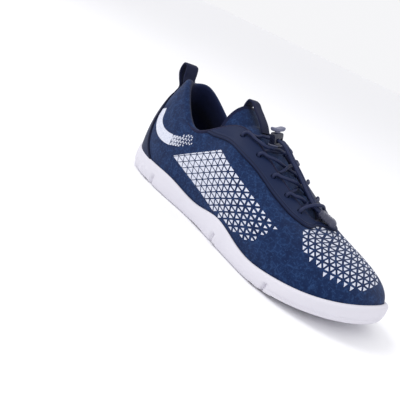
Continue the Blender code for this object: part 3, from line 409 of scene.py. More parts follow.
def skin_normal(at, share):
    step = 0.006
    at, share = np.broadcast_arrays(np.asarray(at, float), np.asarray(share, float))
    round_foot = skin(at + step, share) - skin(at - step, share)
    up_wall = skin(at, np.clip(share + step, 0, 1)) - skin(at, np.clip(share - step, 0, 1))
    return unit(np.cross(round_foot, up_wall))


def off_skin(at, share, distance):
    """A point some way out from the skin, or in where the distance is negative."""
    return skin(at, share) + skin_normal(at, share) * np.asarray(distance, float)[..., None]


SHARES = np.linspace(0, 1, 61)


def wall_arcs(at):
    """For each station the length of the wall from its foot up to each of SHARES."""
    lines = skin(np.asarray(at, float)[:, None], SHARES[None, :])
    steps = np.linalg.norm(np.diff(lines, axis=1), axis=2)
    return np.concatenate([np.zeros((len(steps), 1)), np.cumsum(steps, 1)], 1)


def look_up(table, wanted):
    """For each row of a rising table, the share at which it reaches the wanted value."""
    high = np.clip((table < wanted[:, None]).sum(1), 1, table.shape[1] - 1)
    rows = np.arange(len(table))
    below = table[rows, high - 1]
    above = table[rows, high]
    part = np.clip((wanted - below) / np.maximum(above - below, 1e-9), 0, 1)
    return SHARES[high - 1] + part * (SHARES[high] - SHARES[high - 1])


def by_station(at, found, *others):
    """Works a slow function out once for each different station or pair."""
    at, *others = np.broadcast_arrays(np.asarray(at, float), *others)
    keys, back = np.unique(np.round(np.stack([at.ravel()] + [o.ravel() for o in others], 1), 9),
                           axis=0, return_inverse=True)
    return found(*keys.T)[back.reshape(-1)].reshape(at.shape)


def share_below_top(at, distance):
    """The share that lies a distance below the top edge, along the skin."""
    def find(stations, lengths):
        arcs = wall_arcs(stations)
        return look_up(arcs, arcs[:, -1] - lengths)
    return by_station(at, find, distance)


def share_at_height(at, height):
    def find(stations, heights):
        lines = np.maximum.accumulate(skin(stations[:, None], SHARES[None, :])[..., 2], axis=1)
        return look_up(lines, heights)
    return by_station(at, find, height)


def from_toe(at):
    return np.abs((np.asarray(at, float) % STATIONS) - TOE)


def collar_share(at):
    """1 round the padded collar, 0 along the throat."""
    start, full = PAD_ALONG
    return ease(from_toe(at), TOE - COLLAR_CORNER + start, TOE - COLLAR_CORNER + full)


def upper_wall(at, share):
    """Thickness of the upper: a plain wall, with a pad round the collar."""
    padded = collar_share(at) * ease(share, *PAD_UP) * (1 - PAD_THINNING * ease(share, *PAD_TOP))
    return WALL + (COLLAR_PAD - WALL) * padded


print("collar back at", [round(float(v) / MM, 1) for v in skin(0.0, 1.0)], "mm")


# %% [markdown]
# Each cloth piece starts as a flat grid, and a function says where every point of the grid goes.
# The grid's own two directions are kept as a UV map in metres of cloth, so weaves and knits follow
# the surface.

# %% Mesh helpers
def ring_station(turn):
    """Station at a share of the way round, with closer steps at heel and toe."""
    return STATIONS * (turn - 0.30 * np.sin(4 * math.pi * turn) / (4 * math.pi))


def add_sheet(mesh, columns, rows, place, cloth=None, marks=None):
    """Adds a grid to a bmesh. place(u, v) says where its points go, with u and v from 0 to 1,
    cloth(u, v) gives the UV map, and each of marks gives a number for every point."""
    uv = mesh.loops.layers.uv.verify()
    layers = mesh.verts.layers.float
    kept = {name: layers.get(name) or layers.new(name) for name in marks or {}}
    verts = bmesh.ops.create_grid(mesh, x_segments=columns, y_segments=rows, size=0.5)["verts"]
    flat = np.array([vertex.co for vertex in verts], float)
    u = np.clip(flat[:, 0] + 0.5, 0, 1)
    v = np.clip(flat[:, 1] + 0.5, 0, 1)
    spread = np.stack(cloth(u, v), 1) if cloth else np.stack([u, v], 1)
    numbers = {vertex: i for i, vertex in enumerate(verts)}
    for face in {face for vertex in verts for face in vertex.link_faces}:
        for loop in face.loops:
            loop[uv].uv = spread[numbers[loop.vert]]
    for name, layer in kept.items():
        for vertex, value in zip(verts, marks[name](u, v)):
            vertex[layer] = value
    for vertex, point in zip(verts, place(u, v)):
        vertex.co = point
    return verts


def finish(mesh, name, finishes, weld=0.00001, outwards=True, sharp=60, replaces=()):
    """Turns a bmesh into a piece that rides on the shoe, with its materials."""
    bmesh.ops.remove_doubles(mesh, verts=mesh.verts, dist=weld)
    if outwards:
        bmesh.ops.recalc_face_normals(mesh, faces=mesh.faces)
    data = bpy.data.meshes.new(name)
    mesh.to_mesh(data)
    mesh.free()
    for made in finishes:
        data.materials.append(made)
    data.shade_smooth()
    if sharp:
        data.set_sharp_from_angle(angle=math.radians(sharp))
    piece = bpy.data.objects.new(name, data)
    bpy.context.scene.collection.objects.link(piece)
    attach(piece, "root")
    if replaces:
        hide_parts(*replaces)
    print(name, len(data.polygons), "faces")
    return piece


# %% [markdown]
# Upper. The real one is a fine engineered mesh knitted from two navies and a paler grey-blue yarn,
# so from a step away it looks heathered. A knit has soft columns of loops about a millimetre
# apart, and light scatters in it, so it is rough with a little sheen. The columns are drawn from
# the cloth's own UV map, and cloudy noise in three sizes gives the mixed yarns. Faint cells of
# about five millimetres show where the mesh is knitted more open.

# %% Knit material
KNIT_LOOP = 0.0011
KNIT_CELL = 0.0052
KNIT_CLOUD = 0.00625
KNIT_FLECK = 0.00192
YARN_LENGTH = 0.00303
YARN_WIDTH = 0.00067


def heathered_knit(name, dark, middle, pale, inner):
    """A knit with mixed yarns, which turns into the lining where the mark called lining is 1."""
    made, shader = new_material(name, 0.85, Sheen_Weight=0.08, Sheen_Roughness=0.5,
                                Specular_IOR_Level=0.12)
    uv = add(made, "UVMap", uv_map="UVMap").outputs["UV"]
    place = add(made, "TexCoord").outputs["Object"]
    cloud, fleck = (
        add(made, "TexNoise", {"Vector": place, "Scale": 1 / size, "Detail": detail,
                               "Roughness": 0.7}).outputs["Fac"]
        for size, detail in ((KNIT_CLOUD, 4.0), (KNIT_FLECK, 2.0)))
    stretch = add(made, "Mapping", {"Vector": uv, "Scale": (1 / YARN_LENGTH, 1 / YARN_WIDTH, 1.0)})
    yarn = add(made, "TexNoise", {"Vector": stretch.outputs["Vector"], "Scale": 1.0,
                                  "Detail": 1.0}).outputs["Fac"]
    cells = add(made, "TexVoronoi", {"Vector": place, "Scale": 1 / KNIT_CELL, "Randomness": 0.7},
                feature="DISTANCE_TO_EDGE").outputs["Distance"]
    open_knit = add(made, "MapRange", {"Value": cloud, "From Min": 0.40, "From Max": 0.60,
                                       "To Max": 0.30}, interpolation_type="SMOOTHSTEP")
    lining = add(made, "Attribute", attribute_name="lining").outputs["Fac"]
    mixed = linear(dark)
    for pattern, low, high, most, tone in (
            (cloud, 0.30, 0.75, 1.0, middle), (fleck, 0.50, 0.74, 0.42, pale),
            (yarn, 0.54, 0.74, 0.34, pale), (cells, 0.10, 0.0, open_knit.outputs["Result"], pale),
            (lining, 0.05, 0.95, 1.0, inner)):
        share = add(made, "MapRange", {"Value": pattern, "From Min": low, "From Max": high,
                                       "To Max": most}, interpolation_type="SMOOTHSTEP")
        mixed = layered(made, mixed, (share.outputs["Result"], linear(tone)))
    across, along = cloth_waves(made, KNIT_LOOP, KNIT_LOOP)
    loops = add(made, "Math", {0: across, 1: along}, operation="MULTIPLY").outputs[0]
    relief = add(made, "Math", {0: loops, 1: 0.5, 2: fleck}, operation="MULTIPLY_ADD").outputs[0]
    dress(made, shader, mixed, relief, 0.00022)
    return made


NAVY_KNIT = heathered_knit("navy_engineered_knit", "#0F2043", "#152B52", "#33517F", "#0D1534")
print("knit loops", KNIT_LOOP / MM, "mm apart")


# %% [markdown]
# The wall is one closed skin. At each station it climbs the outside, rolls over the padded edge
# and goes down the inside again, so the collar has its real thickness and turns softly into the
# dark lining. Soft hollows that a worn-in knit shows are pressed into the outside, each at its
# place, with its reach and depth in millimetres.

# %% Upper
CREASES = (
    ("heel_dent", 1.9, 0.62, 0.55, 0.10, 0.7),
    ("ankle_hollow", 3.0, 0.80, 0.9, 0.08, 0.6),
    ("ball_trough", 6.9, 0.34, 0.35, 0.30, 0.5),
    ("ball_ridge", 7.25, 0.36, 0.22, 0.26, -0.35),
    ("toe_trough", 7.65, 0.52, 0.25, 0.25, 0.45),
    ("toe_ridge", 8.0, 0.42, 0.25, 0.22, -0.30),
    ("vamp_trough", 9.2, 0.80, 0.55, 0.12, 0.5),
    ("inner_dent", 17.9, 0.62, 0.55, 0.12, 0.7),
    ("inner_hollow", 17.0, 0.78, 0.9, 0.08, 0.6),
    ("inner_trough", 13.1, 0.36, 0.35, 0.30, 0.5),
    ("inner_ridge", 12.7, 0.36, 0.22, 0.26, -0.35),
)


def crease(at, share):
    """How far the skin is pressed in, in metres."""
    depth = 0 * np.asarray(at, float)
    for name, station, height, reach, spread, deep in CREASES:
        depth = depth + deep * MM * np.exp(-(((at - station) / reach) ** 2)
                                           - ((share - height) / spread) ** 2)
    return depth


BAND_WIDTH = 0.0036
BAND_START = 3.1
CLOTH_ROUND = 0.70
CLOTH_UP = 0.16


def band_share(at):
    """1 where the dark knit band follows the edge, 0 round the back of the collar."""
    return ease(from_toe(at), TOE - BAND_START + 0.35, TOE - BAND_START - 0.35)


def edge_drop(at):
    """How far below the top edge the wall stops."""
    rolled = upper_wall(at, np.ones_like(at)) / 2
    return rolled + (BAND_WIDTH * 0.6 - rolled) * band_share(at)


UP_END, ROLL_END = 0.58, 0.70


def dressed_skin(at, share, lift=0.0):
    """The skin with its creases, and some way above it."""
    return off_skin(at, share, lift - crease(at, share))


def edge_frame(at, share):
    """The skin's normal, and the direction in it that points up the wall."""
    normal = skin_normal(at, share)
    return normal, unit(np.cross(normal, skin(at + 0.002, share) - skin(at - 0.002, share)))


def upper_place(u, v):
    at = ring_station(u)
    top = share_below_top(at, edge_drop(at))
    outside = top * np.clip(v / UP_END, 0, 1)
    inside = top * np.clip((1 - v) / (1 - ROLL_END), 0, 1)
    turn = math.pi * np.clip((v - UP_END) / (ROLL_END - UP_END), 0, 1)
    half = upper_wall(at, top) / 2
    normal, tangent = edge_frame(at, top)
    centre = skin(at, top) - normal * half[:, None]
    rolled = (centre + normal * (half * np.cos(turn))[:, None]
              + tangent * (half * np.sin(turn))[:, None])
    outer = dressed_skin(at, outside)
    inner = off_skin(at, inside, -upper_wall(at, inside))
    inner = np.where((v > 1 - 1e-6)[:, None], dressed_skin(at, 0 * at), inner)
    rolled = np.where((v <= ROLL_END)[:, None], rolled, inner)
    return np.where((v <= UP_END)[:, None], outer, rolled)


def cloth_lengths(u, v):
    """Cloth UV in metres: round the shoe, and up the wall."""
    return u * CLOTH_ROUND, v * CLOTH_UP


def lining_mark(u, v):
    return ease(v, UP_END + 0.015, UP_END + 0.10)


upper_mesh = bmesh.new()
add_sheet(upper_mesh, 330, 96, upper_place, cloth_lengths, {"lining": lining_mark})
upper = finish(upper_mesh, "upper_knit", [NAVY_KNIT], sharp=None,
               replaces=("upper",))


# %% [markdown]
# Holes for the lace are punched through the overlay and the wall together on the real shoe, square
# to the surface. Ten round pins do the same here, taken out of each piece with a Boolean, which is
# then worked into the mesh so that no helper stays in the scene.

# %% Eyelet punches
OVERLAY = 0.0011
OVERLAY_GAP = 0.0004
EYELET_STATIONS = (5.32, 6.02, 6.68, 7.34, 8.06)
EYELET_INSET = 0.0100
EYELET_BORE = 0.0042
PUNCH_DEPTH = 0.010


def mirrored(station, side):
    """The station on the outer side, or its twin on the inner side."""
    return np.array([station if side < 0 else STATIONS - station])


def by_throat(row, side, inset, lift, ahead=0.0):
    """A point off the skin near an eyelet: inset is its distance under the top edge."""
    at = mirrored(EYELET_STATIONS[row] + ahead, side)
    return off_skin(at, share_below_top(at, np.array([inset])), np.array([lift]))[0]


def punches():
    pins = bmesh.new()
    for row in range(len(EYELET_STATIONS)):
        for side in (-1, 1):
            centre = Vector(by_throat(row, side, EYELET_INSET, 0.0))
            above = Vector(by_throat(row, side, EYELET_INSET, 0.001))
            turn = (above - centre).to_track_quat("Z", "Y").to_matrix().to_4x4()
            bmesh.ops.create_cone(pins, cap_ends=True, segments=28, radius1=EYELET_BORE / 2,
                                  radius2=EYELET_BORE / 2, depth=PUNCH_DEPTH,
                                  matrix=Matrix.Translation(centre) @ turn)
    return pins


def cut(piece, shape):
    """Takes a bmesh out of a piece, and keeps only the result."""
    data = bpy.data.meshes.new("cutter")
    shape.to_mesh(data)
    shape.free()
    tool = bpy.data.objects.new("cutter", data)
    bpy.context.scene.collection.objects.link(tool)
    change = piece.modifiers.new("cut", "BOOLEAN")
    change.operation = "DIFFERENCE"
    change.solver = "EXACT"
    change.object = tool
    bpy.context.view_layer.update()
    found = bpy.data.meshes.new_from_object(piece.evaluated_get(
        bpy.context.evaluated_depsgraph_get()))
    piece.modifiers.clear()
    piece.data = found
    bpy.data.objects.remove(tool)
    print(piece.name, "cut,", len(found.polygons), "faces")


cut(upper, punches())


# %% [markdown]
# Overlays, prints and pads are all the same kind of shape: a sheet that swells up off a surface
# and closes at its rim with a round edge. One function makes that from the surface's own formula.

# %% Pads on a surface
def rounding(distance, radius):
    """0 at a rim, 1 past the radius, along a quarter circle."""
    near = np.clip(distance / radius, 0, 1)
    return np.sqrt(np.clip(1 - (1 - near) ** 2, 0, 1))


def close_rows(share):
    """Grid steps that crowd towards both rims."""
    return 0.5 - 0.5 * np.cos(math.pi * share)


def facing(surface, u, v):
    """The normal of a surface formula."""
    step = 0.004
    along = surface(np.clip(u + step, 0, 1), v) - surface(np.clip(u - step, 0, 1), v)
    across = surface(u, np.clip(v + step, 0, 1)) - surface(u, np.clip(v - step, 0, 1))
    return unit(np.cross(along, across))


def add_pad(mesh, columns, rows, surface, lift, sink=0.0, cloth=None, marks=None, crowd=(1, 1)):
    """Adds a closed pad: its face stands lift(u, v) off the surface and its back lies under it."""
    def spread(u, v):
        return (close_rows(u) if crowd[0] else u), (close_rows(v) if crowd[1] else v)

    def face(u, v):
        u, v = spread(u, v)
        return surface(u, v) + facing(surface, u, v) * lift(u, v)[:, None]

    def back(u, v):
        u, v = spread(1 - u, v)
        rim = (u < 1e-6) | (u > 1 - 1e-6) | (v < 1e-6) | (v > 1 - 1e-6)
        low = sink(u, v) if callable(sink) else np.full(u.shape, -sink)
        return surface(u, v) + facing(surface, u, v) * np.where(rim, lift(u, v), low)[:, None]

    def turned(function):
        return lambda u, v: function(*spread(1 - u, v))

    def plain(function):
        return lambda u, v: function(*spread(u, v))

    marks = marks or {}
    add_sheet(mesh, columns, rows, face, cloth and plain(cloth),
              {name: plain(mark) for name, mark in marks.items()})
    add_sheet(mesh, columns, rows, back, cloth and turned(cloth),
              {name: turned(mark) for name, mark in marks.items()})


# %% [markdown]
# The lace is a round elastic cord, braided from dark polyester over a rubber core. Its strands
# cross over each other on two slants, which shows as small diamonds. The tube's UV map is in
# metres, so two slanted waves multiplied give diamonds of their real size.

# %% Cord material and tube
CORD = 0.0027
BRAID_STEP = CORD * math.pi / 8
FIRST_SIDE = (0.13, 0.21, 0.97)

SLATE_CORD, shader = new_material("braided_elastic_cord", 0.55, Specular_IOR_Level=0.3)
slants = cloth_waves(SLATE_CORD, 1.5 * BRAID_STEP / math.sqrt(2), 2 * BRAID_STEP / math.sqrt(2),
                     45.0)
diamonds = add(SLATE_CORD, "Math", dict(enumerate(slants)), operation="MULTIPLY").outputs[0]
two_tones(SLATE_CORD, shader, diamonds, "#0D1432", "#202C52", 0.00016, (-0.7, 0.7))


def smooth_route(points, count):
    """Evenly spaced points on a smooth open curve through the given ones."""
    points = np.asarray(points, float)
    places = run_lengths(points)
    at = np.linspace(0, places[-1], count)
    return np.stack([smooth_steps(list(zip(places, points[:, axis])), at) for axis in range(3)],
                    -1)


def route_length(line):
    return float(run_lengths(line)[-1])


def add_tube(mesh, line, radius, sides=18):
    """Adds a round cord with round ends along a line of points."""
    line = np.asarray(line, float)
    runs = unit(np.gradient(line, axis=0))
    sideways = np.cross(runs[0], FIRST_SIDE)
    frames = []
    for direction in runs:
        sideways = unit(sideways - direction * np.dot(sideways, direction))
        frames.append(sideways)
    frames = np.array(frames)
    others = np.cross(runs, frames)
    steps = run_lengths(line)
    ends = np.minimum(steps, steps[-1] - steps)
    swell = radius * rounding(ends, radius)
    count = len(line) - 1

    def place(u, v):
        at = np.rint(u * count).astype(int)
        angle = 2 * math.pi * v
        around = frames[at] * np.cos(angle)[:, None] + others[at] * np.sin(angle)[:, None]
        return line[at] + around * swell[at][:, None]

    add_sheet(mesh, count, sides, place, lambda u, v: (u * steps[-1], v * 2 * math.pi * radius))


# %% [markdown]
# Where the lace goes. The tongue lies between the two throat edges, a little under the wall, and
# the cord lies on it. Each end comes up through an eyelet from below, crosses the tongue towards
# the toe, dips under the far edge and comes up through the next eyelet there. At the last pair the
# lace runs straight across. The routes are worked out from the eyelets, so they follow the last.

# %% Tongue surface
TONGUE_CROWN = 0.40
TONGUE_SINK = 0.16
SUNK_FROM = 6.0
TONGUE_OVERLAP = 0.0120
TONGUE_DROP = 0.0006
TONGUE_DROP_STATIONS = (3.4, 4.4)


def tongue_clear(at):
    """How far under the skin the tongue lies: under the wall, and lower towards the corner."""
    return WALL + 2 * GAP + TONGUE_DROP * ease(from_toe(at), *TONGUE_DROP_STATIONS)


def tongue_section(at, across):
    """The tongue's outer face between the two throat edges at a station, across from 0 to 1."""
    near_share = share_below_top(at, 0 * at)
    clear = -tongue_clear(at)
    near = off_skin(at, near_share, clear)
    far = off_skin(STATIONS - at, near_share, clear)
    width = np.linalg.norm(far - near, axis=-1, keepdims=True)
    slope = np.radians(column("slope", at))
    up, down = (np.stack([0 * at, -outward(top_edge, edge)[1] * np.cos(slope), np.sin(slope)], -1)
                for edge in (at, STATIONS - at))
    crown = TONGUE_CROWN + (TONGUE_SINK - TONGUE_CROWN) * ease(at, COLLAR_CORNER, SUNK_FROM)
    reach = crown[:, None] * width
    return bezier(across[:, None], near, near + up * reach, far + down * reach, far)


def on_tongue(station, across, distance):
    """A point off the tongue's outer face, between the throat edges."""
    step = 0.01
    at = np.array([station])
    here = np.array([across])
    along = tongue_section(at + step, here) - tongue_section(at - step, here)
    over = tongue_section(at, here + step) - tongue_section(at, here - step)
    return tongue_section(at, here)[0] + unit(np.cross(along[0], over[0])) * distance


# %% Cord lock's place
LOCK_SPOT = (5.87, 0.455, 0.0042)
LOCK_LEAN_BACK = 12.0
LOCK_LEAN_OUT = 12.0
LOCK_WIDTH = 0.0098
LOCK_DEPTH = 0.0072
LOCK_HEIGHT = 0.0112
LOCK_HEAD_WIDTH = 0.0134
LOCK_HEAD_HEIGHT = 0.0042
LOCK_NECK = 0.0006
LOCK_STEM = 0.0046
LOCK_SADDLE = 0.0014
LOCK_BORE_SPREAD = 0.0021
LOCK_BORE_HEIGHT = 0.0052

lock_place = (Matrix.Translation(on_tongue(*LOCK_SPOT))
              @ Matrix.Rotation(-math.radians(LOCK_LEAN_BACK), 4, "Y")
              @ Matrix.Rotation(math.radians(LOCK_LEAN_OUT), 4, "X"))

# %% The tails' line, from the lock to the end clip
TAIL_SPREAD = 0.0017
TAIL_START = 0.0026
TAIL_ROUTE = (
    (6.08, 0.430, 0.0124), (6.30, 0.450, 0.0116), (6.56, 0.475, 0.0104), (6.83, 0.495, 0.0098),
    (7.15, 0.500, 0.0090), (7.51, 0.495, 0.0081), (7.89, 0.500, 0.0074), (8.46, 0.530, 0.0075),
)
TAIL_IN_CLIP = 0.0020
CLIP_STEP = (0.0020, 0.0010, -0.0008)
CLIP_AIM = (0.79, 0.55, -0.27)
CLIP_LENGTH = 0.0165
CLIP_WIDTH = 0.0088
CLIP_HEIGHT = 0.0065

tail_line = [np.array(lock_place @ Vector((TAIL_START, 0, LOCK_BORE_HEIGHT)))]
tail_line += [on_tongue(*row) for row in TAIL_ROUTE]
clip_place = (Matrix.Translation(tail_line[-1] + np.array(CLIP_STEP))
              @ Vector(CLIP_AIM).to_track_quat("Z", "Y").to_matrix().to_4x4())


# %% Ribbed end clip
def add_block(mesh, size, low, power=5.0, cuts=14, shape=None):
    """Adds a block with softly rounded edges that stands on z = low. shape(x, y, z), each from
    -1 to 1, gives the share by which each point moves in or out sideways."""
    before = len(mesh.verts)
    corners = bmesh.ops.create_cube(mesh, size=2.0)["verts"]
    edges = list({edge for vertex in corners for edge in vertex.link_edges})
    bmesh.ops.subdivide_edges(mesh, edges=edges, cuts=cuts, use_grid_fill=True)
    mesh.verts.ensure_lookup_table()
    verts = mesh.verts[before:]
    cube = np.array([vertex.co for vertex in verts], float)
    cube = np.sin(cube * math.pi / 2 * 0.98) / math.sin(math.pi / 2 * 0.98)
    rounded = cube * (np.abs(cube).max(1) / (np.abs(cube) ** power).sum(1) ** (1 / power))[:, None]
    if shape:
        rounded[:, :2] *= shape(*rounded.T)[:, None]
    placed = rounded * np.array(size) / 2 + np.array([0, 0, low + size[2] / 2])
    for vertex, point in zip(verts, placed):
        vertex.co = point
    return verts


# The end clip is moulded nylon: a plain dark grey with a little haze and soft highlights.
GREY_PLASTIC = clouded("moulded_grey_nylon", 0.42, 0.00143, "#3E4054", "#4C4E62", 0.00004,
                       Specular_IOR_Level=0.5, Coat_Weight=0.15, Coat_Roughness=0.3)
CLIP_RIBS = 5


def clip_ribs(x, y, z):
    """Deep ribs across the lower two thirds of the clip, and a plain rounded nose."""
    along = (z + 1) / 2
    wave = 0.5 - 0.5 * np.cos(2 * math.pi * CLIP_RIBS * np.clip((along - 0.06) / 0.62, 0, 1))
    return (1 - 0.20 * (1 - wave) * ease(along, 0.02, 0.08) * ease(along, 0.72, 0.66)
            - 0.12 * ease(along, 0.80, 1.0))


clip_mesh = bmesh.new()
add_block(clip_mesh, (CLIP_WIDTH, CLIP_HEIGHT, CLIP_LENGTH), 0.0, 4.0, 34, clip_ribs)
clip_mesh.transform(clip_place)
clip = finish(clip_mesh, "ribbed_end_clip", [GREY_PLASTIC], sharp=None,
              replaces=("cord_end_clip",))

# %% The two tails
for side, word in ((-1, "outer"), (1, "inner")):
    line = [point + (0, side * TAIL_SPREAD, 0) for point in tail_line]
    line.append(np.array(clip_place @ Vector((side * TAIL_SPREAD, 0, TAIL_IN_CLIP))))
    line = smooth_route(line, 150)
    tube = bmesh.new()
    add_tube(tube, line, CORD / 2)
    tail = finish(tube, "tail_" + word, [SLATE_CORD], sharp=None,
                  replaces=("lace_tail_" + word,))
    print("tail", word, round(route_length(line) / MM, 1), "mm")

# %% The lace through the eyelets
OVER = OVERLAY_GAP + OVERLAY + CORD / 2 + 0.0002
UNDER = -(WALL + CORD / 2)
STRAND_LEADS = (0.92, 0.50, 0.46, 0.54)
STRAND_END = 0.34
LEAD_STATION = 5.55
ON_TONGUE = CORD / 2 + GAP
EYELET_ROUTE = ((0.0020, UNDER - 0.0004, -0.04), (0.0062, UNDER - 0.0002, 0.0),
                (0.0092, UNDER * 0.62, 0.0), (0.0103, 0.0, 0.0), (0.0093, OVER * 0.92, 0.0),
                (0.0072, OVER + 0.0003, 0.04))


def up_through(row, side):
    """From under the throat edge up through an eyelet, to where the cord lies on the overlay."""
    return [by_throat(row, side, *step) for step in EYELET_ROUTE]


def strand(row, side):
    """From an eyelet over the tongue to the far throat edge. One of each pair lies over."""
    ahead = EYELET_STATIONS[row + 1] - EYELET_STATIONS[row]
    lead = STRAND_LEADS[row]
    above = CORD if side == (1 if row % 2 else -1) else 0.0
    middle = EYELET_STATIONS[row] + 0.5 * (1 + lead) * ahead
    far = 0.5 + 0.5 * side * (STRAND_END - 1)
    return [by_throat(row, side, 0.4 * EYELET_INSET, OVER + 0.0003, 0.6 * lead * ahead),
            by_throat(row, side, 0.02 * EYELET_INSET, OVER + 0.0003, lead * ahead),
            on_tongue(middle, 0.5, ON_TONGUE + 0.0002 + above),
            on_tongue(EYELET_STATIONS[row + 1] - 0.02, far, ON_TONGUE),
            by_throat(row + 1, -side, 0.0004, UNDER - 0.0006, -0.06)]


def half_lace(side):
    """One end of the lace: from inside the lock to the last eyelet."""
    hole = Vector((0.0010, side * LOCK_BORE_SPREAD, LOCK_BORE_HEIGHT))
    behind = Vector((-LOCK_DEPTH / 2 - 0.0033, side * (LOCK_BORE_SPREAD + 0.0008),
                     LOCK_BORE_HEIGHT))
    far = 0.5 - 0.5 * side * (STRAND_END - 1)
    points = [np.array(lock_place @ hole), np.array(lock_place @ behind),
              on_tongue(LEAD_STATION, 0.5 + 0.22 * side, CORD / 2 + 0.0009),
              on_tongue(LEAD_STATION, far, ON_TONGUE)]
    for row in range(len(EYELET_STATIONS)):
        points += up_through(row, side)
        if row < len(EYELET_STATIONS) - 1:
            points += strand(row, side)
            side = -side
    return points, side


outer_half, outer_end = half_lace(-1)
inner_half, inner_end = half_lace(1)
last_tail = tail_line[-1]
bar = [last_tail + (0, outer_end * (TAIL_SPREAD + CORD), CORD + 0.0006),
       last_tail + (0, 0, CORD + 0.0009),
       last_tail + (0, inner_end * (TAIL_SPREAD + CORD), CORD + 0.0006)]
lace_line = smooth_route(outer_half + bar + inner_half[::-1], 1500)
tube = bmesh.new()
add_tube(tube, lace_line, CORD / 2, sides=16)
finish(tube, "elastic_lace", [SLATE_CORD], sharp=None,
       replaces=("lace_crossing_1", "lace_crossing_2", "lace_crossing_3",
                 "lace_crossing_4", "lace_bar", "lace_lead_outer", "lace_lead_inner"))
print("lace through the eyelets:", round(route_length(lace_line) / MM), "mm")


# %% [markdown]
# Round the throat the edge is bound with a narrow band of dark ribbed knit, folded over the wall
# and thinned out towards the ankle. It is a flattened tube whose middle follows the top edge.

# %% Edge band
BAND_KNIT = heathered_knit("dark_edge_knit", "#141630", "#1B1E3C", "#2A2E52", "#10122A")


def band_place(u, v):
    at = BAND_START - 0.55 + (STATIONS - 2 * BAND_START + 1.1) * u
    fade = ease(np.minimum(u, 1 - u), 0.0, 0.075)
    top = share_below_top(at, 0 * at + BAND_WIDTH * 0.55)
    normal, tangent = edge_frame(at, top)
    wall = upper_wall(at, top)
    middle = skin(at, top) - normal * (wall / 2)[:, None]
    angle = 2 * math.pi * v
    thick = (wall / 2 + 0.00055) * np.sign(np.cos(angle)) * np.abs(np.cos(angle)) ** 0.55
    tall = BAND_WIDTH * 0.55 * np.sign(np.sin(angle)) * np.abs(np.sin(angle)) ** 0.8
    thick = thick * (0.86 + 0.14 * fade)
    return middle + normal * thick[:, None] + tangent * (tall * fade)[:, None]


band_mesh = bmesh.new()
add_sheet(band_mesh, 300, 28, band_place, lambda u, v: (u * 0.36, v * 0.011))
finish(band_mesh, "edge_band", [BAND_KNIT], sharp=None, replaces=("collar_piping",))


# %% [markdown]
# The eyestay and the heel counter are a thin smooth film, moulded on the outside of the knit by
# heat. The film is a matt navy polyurethane with a very fine grain and soft broad highlights. The
# eyestay has two raised ridges along its outer rim, with painted shade between them, and the
# counter a darker rim.

# %% Overlay material
# The real film's grain is finer than this. It is drawn just coarse enough to soften highlights.
FILM_CLOUD = 0.0167
FILM_GRAIN = 0.00038
FILM_FOOT = 0.0001

SMOOTH_OVERLAY, shader = new_material("moulded_polyurethane_film", 0.52, Specular_IOR_Level=0.12)
place = add(SMOOTH_OVERLAY, "TexCoord").outputs["Object"]
cloud, grain = (add(SMOOTH_OVERLAY, "TexNoise", {"Vector": place, "Scale": 1 / size,
                                                 "Detail": 2.0}).outputs["Fac"]
                for size in (FILM_CLOUD, FILM_GRAIN))
dark_rim_and_painted_ridge_shade = add(SMOOTH_OVERLAY, "Attribute", attribute_name="rim").outputs["Fac"]
# The rim mark darkens the film along its rim, and on the eyestay it is also painted shade between
# the two ridges.
film = layered(SMOOTH_OVERLAY, linear("#16203E"), (cloud, linear("#1C2846")),
               (dark_rim_and_painted_ridge_shade, linear("#11162E")))
dress(SMOOTH_OVERLAY, shader, film, grain, 0.00005)

# %% Eyestay
EYESTAY_INSET = 0.0030
EYESTAY_EDGE = (
    (0.0, 0.930), (0.5, 0.915), (1.6, 0.765), (2.3, 0.722), (3.1, 0.715),
    (3.8, 0.720), (4.6, 0.700), (5.4, 0.810), (6.0, 0.950),
)
EYESTAY_REACH = EYESTAY_EDGE[-1][0]
RIDGES = ((0.0013, 0.00050), (0.0034, 0.00042))
RIDGE_WIDTH = 0.00075
EYESTAY_CLOTH = (0.35, 0.02)
FILM_EDGE = 0.0011


def eyestay_lines(u):
    at = TOE - EYESTAY_REACH + 2 * EYESTAY_REACH * u
    low = smooth_steps(EYESTAY_EDGE, from_toe(at))
    return at, low, share_below_top(at, np.full(at.shape, EYESTAY_INSET))


def eyestay_surface(u, v):
    at, low, top = eyestay_lines(u)
    return dressed_skin(at, low + (top - low) * v)


def eyestay_width(u):
    at, low, top = eyestay_lines(u)
    return np.linalg.norm(skin(at, top) - skin(at, low), axis=1)


def eyestay_lift(u, v):
    width = eyestay_width(u)
    low = v * width
    rim = np.minimum(np.minimum(low, (1 - v) * width),
                     np.minimum(u, 1 - u) * EYESTAY_CLOTH[0])
    lift = OVERLAY_GAP + OVERLAY * rounding(rim, FILM_EDGE)
    wide = ease(width, 0.002, 0.006)
    for away, high in RIDGES:
        lift = lift + high * np.exp(-(((low - away) / RIDGE_WIDTH) ** 2)) * wide
    return np.where(rim < 1e-7, FILM_FOOT, lift)


def dark_foot_and_painted_ridge_shade(u, v):
    """The film is darker along the foot of its rim, with painted shade between the two ridges."""
    low = v * eyestay_width(u)
    gap = (RIDGES[0][0] + RIDGES[1][0]) / 2
    return np.maximum(0.8 * np.exp(-(((low - gap) / 0.0006) ** 2)), ease(low, 0.0008, 0.0))


eyestay_mesh = bmesh.new()
add_pad(eyestay_mesh, 300, 44, eyestay_surface, eyestay_lift, sink=FILM_FOOT,
        cloth=lambda u, v: (u * EYESTAY_CLOTH[0], v * EYESTAY_CLOTH[1]),
        marks={"rim": dark_foot_and_painted_ridge_shade}, crowd=(0, 1))
eyestay = finish(eyestay_mesh, "eyestay_film", [SMOOTH_OVERLAY], sharp=None,
                 replaces=("eyestay",))
cut(eyestay, punches())

# %% Heel counter
COUNTER_EDGE = ((0.0, 2.00), (0.18, 1.55), (0.45, 1.22), (0.75, 1.10), (1.0, 0.70))
COUNTER_TOP = 0.74
COUNTER_CLOTH = (0.07, 0.055)
COUNTER_LIFT = 0.0006
COUNTER_ROUNDING = 0.0012


